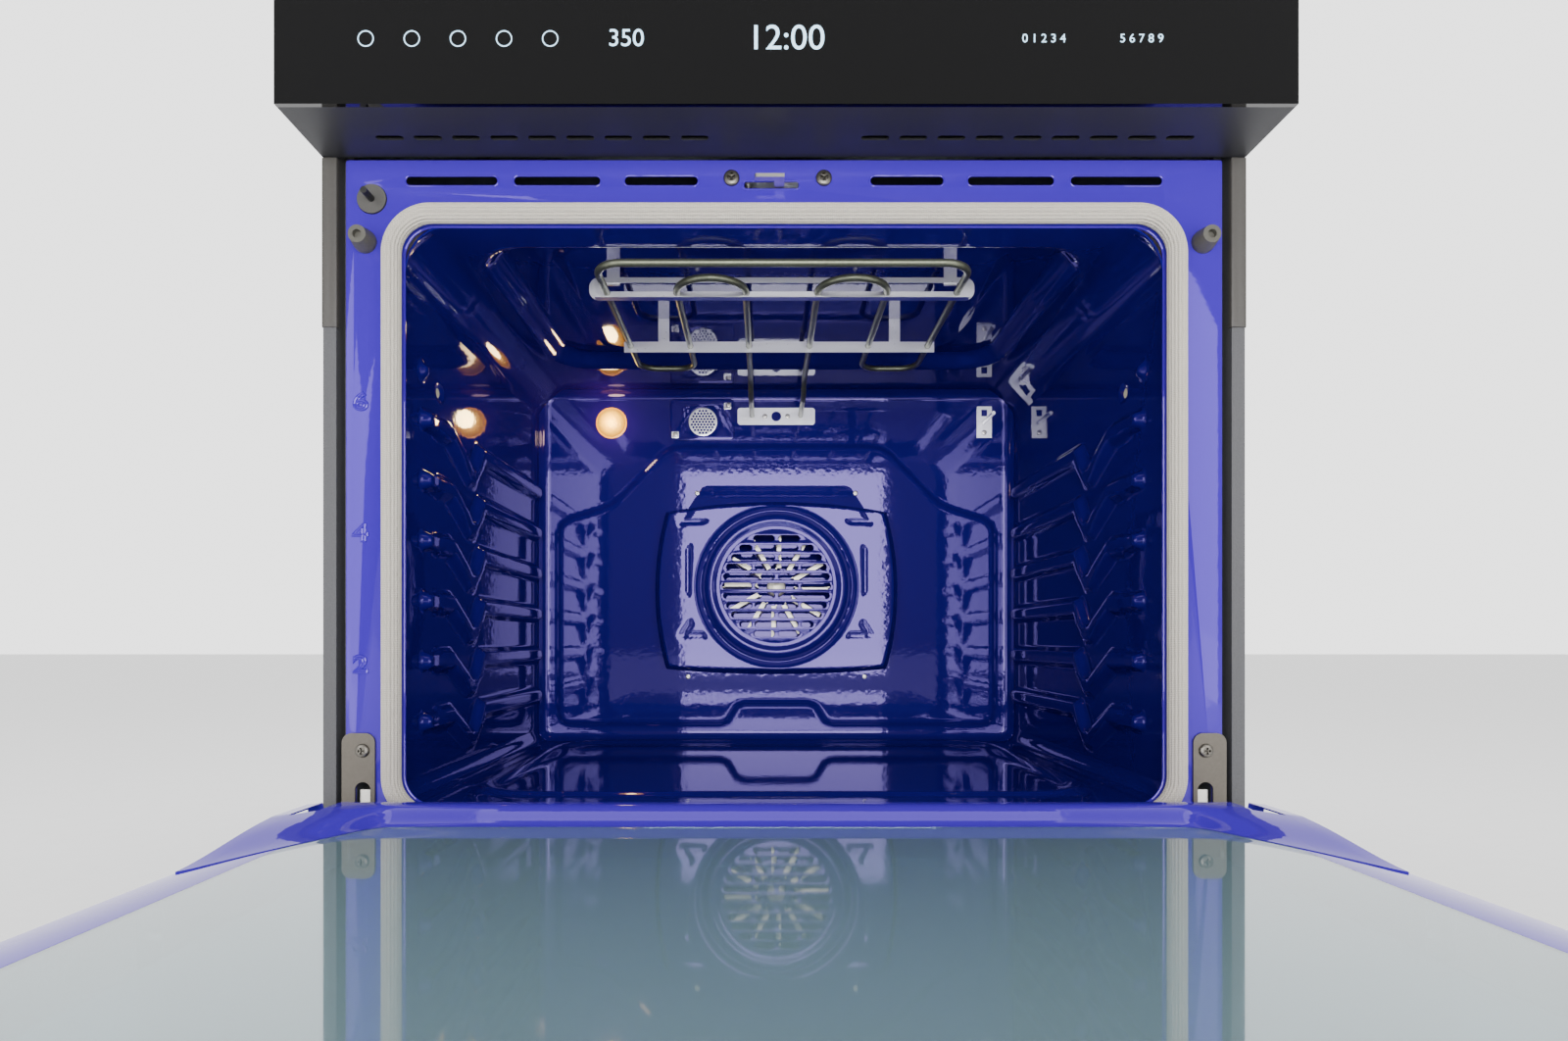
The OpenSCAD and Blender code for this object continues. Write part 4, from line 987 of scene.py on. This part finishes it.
def ridge_line(x):
    """The ridge's outline across the door at one place along it, from its back over the crest to its foot."""
    ax = abs(x)
    back, crest, foot = eased(ax, BACK_X, BACK_Y), eased(ax, CREST_X, CREST_Y), eased(ax, FOOT_X, FOOT_Y)
    start = np.arccos(np.clip((back - HINGE_Y) / CLEAR_R, -1, 1))
    top_z = min(CREST, HINGE_Z + CLEAR_R * sin(start)) if back > HINGE_Y else CREST - 3
    line = [(back, 66), (back, 80), (back, 95), (back, top_z - 5)]
    for t in np.linspace(0, 1, 9):
        y = back + (crest - back) * t * 0.9
        arc_z = HINGE_Z + sqrt(max(CLEAR_R ** 2 - (y - HINGE_Y) ** 2, 0)) if y > HINGE_Y else CREST + 2
        line.append((y - 1.0, min(CREST - 0.25 * (1 - t), arc_z)))
    line.append((crest, CREST - 0.4))
    for t in np.linspace(0.12, 1, 9):
        line.append((crest + (foot - crest) * t, FLOOR + 0.25 + 12.2 * (1 - step(-0.12, 1.12, t))))
    return [(x, y, z) for y, z in line]


print("ridge is", round(max(z for _, _, z in ridge_line(0)) - FLOOR, 1), "mm high in the middle")

# %% [markdown]
# The strips beside the hinges start at the crest, which leaves the slots that the hinge arms pass
# through. Past the ridge the liner is a flat border round the glass, with the mouth that the
# hook enters, and a turned-down skirt all round.

# %% Door liner
LINER_X, SLOT_OUT, SLOT_IN = 358.5, 350.6, 338
CREST_START = 13
strips = []
for low, high, count, first in ((-LINER_X, -SLOT_OUT, 6, 0), (-SLOT_OUT, -SLOT_IN, 8, CREST_START),
                                (-SLOT_IN, SLOT_IN, 270, 0), (SLOT_IN, SLOT_OUT, 8, CREST_START),
                                (SLOT_OUT, LINER_X, 6, 0)):
    lines = [ridge_line(x)[first:] for x in np.linspace(low, high, count)]
    strips.append(pressed("ridge", np.array(lines)[::-1], 1.2, frame_enamel))
ridge = joined("door_ridge", strips)
liner_edge = arc_loop((-LINER_X, -620.5), (LINER_X, -72), 10)
glass_hole = arc_loop((-330.8, -599), (330.8, -79.5), 12)
hook_mouth = arc_loop((-36.4, -611.5), (15.6, -601.5), 3)
border = settle(flat_curve([liner_edge, glass_hole, hook_mouth], 1.5, 0.4), "door_border",
                at_place(0, 0, FLOOR - 0.8), frame_enamel)
skirt_rows = [[(x, y, FLOOR - 1.2 - drop) for x, y in liner_edge] for drop in (0, 6, 13)]
skirt = pressed("door_skirt", np.array(skirt_rows)[::-1], 1.0, frame_enamel, wrap=True)
liner = joined("door_liner_sheet", [ridge, border, skirt])
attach(liner, "door")
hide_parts("door_liner")
print("liner faces", len(liner.data.polygons))

# %% [markdown]
# ## Side trims
# Long trims are bent strip: a profile drawn once and pulled along its length. A bevel softens
# the bends, and a grey moulded cap clips over the front edge of the upper part of each.

# %% Side trims
def pulled(name, outline, start, end, mat, bevel):
    """A closed profile pulled up from start to end, with its edges softened by bevel millimetres."""
    count = len(outline)
    verts = []
    for height in (start, end):
        verts += [(a, b, height) for a, b in outline]
    faces = [tuple(range(count))[::-1], tuple(range(count, 2 * count))]
    for k in range(count):
        m = (k + 1) % count
        faces.append((k, m, count + m, count + k))
    made = piece(name, verts, faces, mat)
    soften = made.modifiers.new("edges", "BEVEL")
    soften.width = bevel * MM
    soften.segments = 3
    soften.limit_method = "ANGLE"
    return made


trim_low, trim_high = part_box("side_trim_right")
cap_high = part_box("trim_caps")[1]
X0, X1, Z1 = trim_low[0] / MM, trim_high[0] / MM, trim_high[2] / MM
WEB_IN, CAP_BOTTOM = 11, 503
web = X1 - WEB_IN
for side, hand in ((-1, "left"), (1, "right")):
    shape = [(X1, 0), (X1, 1.5), (web + 1.5, 1.5), (web + 1.5, 16), (X0 + 1.5, 16), (X0 + 1.5, 46), (X0, 46),
             (X0, 14.5), (web, 14.5), (web, 0)]
    trim = pulled("trim_" + hand, [(side * a, b) for a, b in shape], 0, Z1, powder_coat, 0.5)
    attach(trim, "chassis")
    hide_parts("side_trim_" + hand)
    cap_shape = [(X1 + 1, 15.8), (X1 + 1, 1), (X1 + 0.4, -0.9), (X1 - 1.2, -1.4), (web + 0.6, -1.4),
                 (web - 0.6, -0.8), (web - 1, 0.4), (web - 1, 3.8), (web - 0.1, 3.8), (web - 0.1, -0.4),
                 (X1 + 0.1, -0.4), (X1 + 0.1, 15.8)]
    cap = pulled("cap_" + hand, [(side * a, b) for a, b in cap_shape], CAP_BOTTOM, cap_high[2] / MM,
                 cap_plastic, 0.25)
    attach(cap, "chassis")
    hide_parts("trim_caps")
print("trims from", round(X0, 1), "to", round(X1, 1))

# %% [markdown]
# ## Lamp
# The lamp's glass is a shallow dome with a flat flange, pressed in a round mould. Anything round
# like that is turned: half its outline goes once round an axis, as on a lathe.

# %% Lamp
TURNED_STEPS = 48


def turned(name, profile, centre, mat, axis="Y"):
    """A profile of (radius, height) turned about X or Y through centre; its two ends have radius 0."""
    count = TURNED_STEPS
    verts, faces = [], []
    for r, h in profile[1:-1]:
        for k in range(count):
            a = 2 * pi * k / count
            u, v = r * cos(a), r * sin(a)
            verts.append((u, h, v) if axis == "Y" else (h, u, v))
    tips = [profile[0][1], profile[-1][1]]
    for h in tips:
        verts.append((0, h, 0) if axis == "Y" else (h, 0, 0))
    rows = len(profile) - 2
    for i in range(rows - 1):
        for k in range(count):
            a, b = i * count + k, i * count + (k + 1) % count
            faces.append((a, b, b + count, a + count))
    for k in range(count):
        faces.append((k, (k + 1) % count, rows * count))
        faces.append(((rows - 1) * count + k, (rows - 1) * count + (k + 1) % count, rows * count + 1))
    return piece(name, np.array(verts) + np.array(centre), faces, mat)


lens = turned("lamp_glass", [(0, -9), (6, -8.8), (12, -7.6), (16, -5.4), (18.4, -3), (19, -2), (21, -1.6),
                             (21, 0), (0, 0)], (lamp_x, DEPTH, lamp_z), lens_glass)
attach(lens, "chassis")
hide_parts("lamp_lens")
print("lamp faces", len(lens.data.polygons))

# %% [markdown]
# ## Vent
# Beside the lamp, steam leaves through a round hole with a screen behind it: thin sheet with
# six-sided holes in staggered rows. An enamelled plate frames it, and two spring clips hold it.

# %% Vent
HEX_R, HEX_STEP, HEX_ROW, SCREEN_R = 1.75, 4.3, 3.72, 16.8
vent_low, vent_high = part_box("vent_cover")
screen_low, screen_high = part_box("vent_screen")
vx = (screen_low[0] + screen_high[0]) / 2 / MM
vz = (screen_low[2] + screen_high[2]) / 2 / MM
plate_low, plate_high = (vent_low[0] / MM, vent_low[2] / MM), (vent_high[0] / MM, vent_high[2] / MM)
round_hole = [(vx + 19.4 * cos(a), vz + 19.4 * sin(a)) for a in angles[::6]]
cover_plate = settle(flat_curve([arc_loop(plate_low, plate_high, 6), round_hole], 3, 0.9), "vent_plate",
                     upright(DEPTH - 1.5), cavity_enamel_painted_shade)
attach(cover_plate, "chassis")
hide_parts("vent_cover")
rim = [(vx + 19.3 * cos(a), vz + 19.3 * sin(a)) for a in angles[::6]]
holes = []
for row in range(-5, 6):
    for col in range(-5, 6):
        hx, hz = (col + (row % 2) / 2) * HEX_STEP, row * HEX_ROW
        if np.hypot(hx, hz) < SCREEN_R:
            corners = [k * pi / 3 + pi / 6 for k in range(6)]
            holes.append([(vx + hx + HEX_R * cos(a), vz + hz + HEX_R * sin(a)) for a in corners])
mesh_disc = settle(flat_curve([rim] + holes, 0.8, 0.15), "vent_mesh", upright(DEPTH - 1.6), bright_sheet)
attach(mesh_disc, "chassis")
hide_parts("vent_screen")
clips = []
for cx, cz in ((plate_low[0] + 7, plate_low[1] + 7), (plate_high[0] - 9, plate_high[1] - 10)):
    clip_edge = arc_loop((cx - 5, cz - 4.5), (cx + 5, cz + 4.5), 1.2, 4)
    clip_hole = arc_loop((cx - 2.4, cz - 1.2), (cx + 2.4, cz + 4.0), 0.6, 3)
    clips.append(settle(flat_curve([clip_edge, clip_hole], 0.8, 0.2), "clip", upright(DEPTH - 3.2),
                        bright_sheet))
clips = joined("vent_clips", clips)
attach(clips, "chassis")
print("vent holes", len(holes))

# %% [markdown]
# ## Handle
# The bar is drawn tube, brushed along its length, with its ends closed and their edges broken.

# %% Handle
bar_low, bar_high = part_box("handle_bar")
R = (bar_high[2] - bar_low[2]) / 2 / MM
length = (bar_high[0] - bar_low[0]) / MM
grip_start = (bar_low[0] / MM, (bar_low[1] + bar_high[1]) / 2 / MM, (bar_low[2] + bar_high[2]) / 2 / MM)
first_end = [(0, 0), (R - 1.5, 0), (R - 0.4, 0.5), (R, 1.6)]
middle = [(R, length * share) for share in (0.25, 0.5, 0.75)]
last_end = [(R, length - 1.6), (R - 0.4, length - 0.5), (R - 1.5, length), (0, length)]
grip = turned("handle_grip", first_end + middle + last_end, grip_start, steel, axis="X")
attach(grip, "door")
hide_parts("handle_bar")
print("handle length", round(length, 1))

# %% [markdown]
# ## Fan
# The fan is a ring of flat blades that stand on a disc, so a tree turns copies of one blade
# about the shaft.

# %% Fan
BLADES = 12
blade_root = fan_low[1] / MM + 8
blade_angles = [2 * pi * k / BLADES for k in range(BLADES)]


def block(low, high):
    """The eight corners and six faces of a box."""
    corners = [(x, y, z) for x in (low[0], high[0]) for y in (low[1], high[1]) for z in (low[2], high[2])]
    return corners, [(0, 1, 3, 2), (4, 6, 7, 5), (0, 4, 5, 1), (2, 3, 7, 6), (0, 2, 6, 4), (1, 5, 7, 3)]


vane, sides = block((24, 0, -0.7), (73, 24, 0.7))
flange, _ = block((26, 0, -6.5), (70, 1.2, 0.7))
blade = piece("blade", vane + flange, sides + [tuple(k + 8 for k in f) for f in sides], fan_sheet)
blades = scatter("fan_blades", blade, [(0, blade_root, FAN_Z)] * BLADES, [(0, -a, 0) for a in blade_angles],
                 1.0, fan_sheet)
bpy.data.objects.remove(blade)
# from the boss in front, out along the disc's front, back along its rear, and down the shaft
hub_line = [(0, 0), (9, 0), (12, 1.5), (13, 6), (13, 22), (72, 22.4), (74, 23), (74, 24.4), (14, 24.6),
            (4, 26), (4, 60), (0, 60)]
hub = turned("fan_hub", hub_line, (0, blade_root, FAN_Z), fan_sheet)
fan = joined("fan_wheel", [blades, hub])
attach(fan, "convection_fan")
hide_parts("convection_fan")
print("fan faces", len(fan.data.polygons))

# %% [markdown]
# ## Control panel
# A clock and a row of touch keys shine through black glass. They are modelled as print a few
# hundredths of a millimetre proud of the glass, because two faces in one plane would flicker.

# %% Display print
glass_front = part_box("control_glass")
panel_y = glass_front[0][1] / MM
panel_mid = (glass_front[0][2] + glass_front[1][2]) / 2 / MM
lit, tree, shader = finish("lit display segment", "BFE6FF", 0.4, Emission_Strength=1.6)
shader.inputs["Emission Color"].default_value = linear("BFE6FF")
flicker = grain(tree, 2.0)
spread(tree, shader, "Emission Strength", flicker.outputs["Fac"], 1.2, 1.9)
FIRST_KEY, KEY_STEP, KEY_R = -310, 34, 6
marks = []
for words, at, height in (("12:00", 0, 0.026), ("350", -118, 0.018), ("0 1 2 3 4", 190, 0.009),
                          ("5 6 7 8 9", 262, 0.009)):
    text = bpy.data.curves.new("digits", "FONT")
    text.body, text.size, text.align_x, text.align_y = words, height, "CENTER", "CENTER"
    text.extrude = 0.00005
    digit = bpy.data.objects.new("digits", text)
    scene.collection.objects.link(digit)
    bpy.context.view_layer.update()
    marks.append(settle(digit, "digits", at_place(at, panel_y - 0.04, panel_mid) @ UPRIGHT, lit))
for k in range(5):
    cx = FIRST_KEY + KEY_STEP * k
    rings = [[(cx + r * cos(a), panel_mid + r * sin(a)) for a in angles[::8]] for r in (KEY_R, KEY_R - 0.8)]
    marks.append(settle(flat_curve(rings, 0.1, 0.02), "key", upright(panel_y - 0.12), lit))
marks = joined("display_print", marks)
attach(marks, "chassis")
print("display faces", len(marks.data.polygons))

# %% [markdown]
# ## Finishes on the pieces that keep their CAD shape
# Casing, motors, brackets and tubes are already the right shape, so they only need a surface.
# The table says which finish goes on which of them, and the loop fills their material slots.

# %% Assign finishes
FINISHES = {
    galvanised: ["side_panel_left", "side_panel_right", "base_pan", "back_cover", "top_cover", "air_duct",
                 "blower_housing", "junction_box", "fan_motor_bracket", "lamp_housing", "hinge_receivers"],
    wool: ["insulation_blanket"],
    powder_coat: ["bottom_trim"],
    dark_coat: ["control_housing"],
    tinted: ["control_glass", "door_window_glass"],
    black_plastic: ["display_module", "switch_plunger"],
    board_mask: ["control_board"],
    olive_tube: ["grill_element", "floor_element"],
    cream_tube: ["ring_element"],
    bright_sheet: ["grill_bracket_front", "grill_bracket_rear", "element_plate", "temperature_probe",
                   "latch_housing"],
    motor_paint: ["fan_motor", "blower_motor"],
    fan_sheet: ["blower_wheel"],
    filament: ["lamp_bulb"],
    plated: ["hinge_arms", "hinge_channels", "latch_hook"],
    switch_plastic: ["switch_body"],
    rubber: ["door_bumpers"],
    dark_plate: ["hinge_plates"],
    light_screw: ["case_screws", "door_screws"],
    pane: ["door_inner_glass", "door_middle_glass"],
    steel: ["door_front_panel", "handle_posts"],
}
for mat, names in FINISHES.items():
    for name in names:
        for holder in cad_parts[name].material_slots:
            holder.material = mat
print("finished", sum(len(v) for v in FINISHES.values()), "CAD pieces")

# %% [markdown]
# ## Floor
# The oven stands on a plain pale floor, wide enough to reach the horizon from every side.

# %% Floor
floor_mat, tree, shader = finish("matt white floor", "F2F2F2", 0.6)
dust = grain(tree, 30)
tint(tree, shader, dust.outputs["Fac"], "F0F0F0", "F5F5F5")
bpy.ops.mesh.primitive_plane_add(size=30, location=(0, 0, -0.0005))
ground = bpy.context.object
ground.name = "studio_floor"
ground.data.materials.append(floor_mat)
print("floor at", ground.location[2])

# %% [markdown]
# ## Room
# Gloss enamel shows the room. The room is bright behind the oven, where it is the backdrop, and
# dim in front, where the enamel would mirror it and turn milky.

# %% Room
ROOM_FRONT, ROOM_BACK = 0.25, 2.6
world = bpy.data.worlds.new("white room")
scene.world = world
world.use_nodes = True
tree = world.node_tree
towards = add(tree, "ShaderNodeTexCoord")
split = add(tree, "ShaderNodeSeparateXYZ", {"Vector": towards.outputs["Generated"]})
fade = add(tree, "ShaderNodeMapRange", {"Value": split.outputs["Y"], "From Min": -0.35, "From Max": 0.35,
                                         "To Min": ROOM_FRONT, "To Max": ROOM_BACK})
tree.nodes["Background"].inputs["Color"].default_value = (1, 1, 1, 1)
tree.links.new(fade.outputs["Result"], tree.nodes["Background"].inputs["Strength"])
print("room", world.name)

# %% [markdown]
# ## Lights
# One soft box stands in front at the height of the fan, and the back panel mirrors it. Two taller
# ones light the frame from the sides and one the casing from above. In enamel the size and the
# place of a light matter more than its strength. A small warm light sits before the lamp.

# %% Lights
def softbox(name, at, aim, width, height, watts):
    """A rectangular soft light at one place, aimed at another, in metres and watts."""
    data = bpy.data.lights.new(name, "AREA")
    data.shape = "RECTANGLE"
    data.size, data.size_y, data.energy = width, height, watts
    lamp = bpy.data.objects.new(name, data)
    scene.collection.objects.link(lamp)
    lamp.location = at
    lamp.rotation_euler = (Vector(aim) - Vector(at)).to_track_quat("-Z", "Y").to_euler()


CENTRE_X, CENTRE_Z, SIDE_X, SIDE_Z = 0.06, 0.52, 1.5, 0.66
softbox("centre softbox", (CENTRE_X, -1.75, CENTRE_Z), (CENTRE_X, 0, CENTRE_Z), 0.8, 0.8, 28)
for side in (-1, 1):
    softbox("side softbox", (side * SIDE_X, -1.8, SIDE_Z), (side * SIDE_X, 0, SIDE_Z), 1.0, 1.35, 20)
softbox("top softbox", (0, -0.2, 2.4), (0, 0, 0.4), 2.0, 2.0, 25)
GLOW_OFF = 22
glow = bpy.data.objects.new("lamp glow", bpy.data.lights.new("lamp glow", "POINT"))
glow.data.energy, glow.data.shadow_soft_size = 0.22, 0.012
glow.data.color = (1.0, 0.74, 0.25)
glow.location = (lamp_x * MM, (DEPTH - GLOW_OFF) * MM, lamp_z * MM)
scene.collection.objects.link(glow)

# %% [markdown]
# ## End

# %% End
print("scene built")
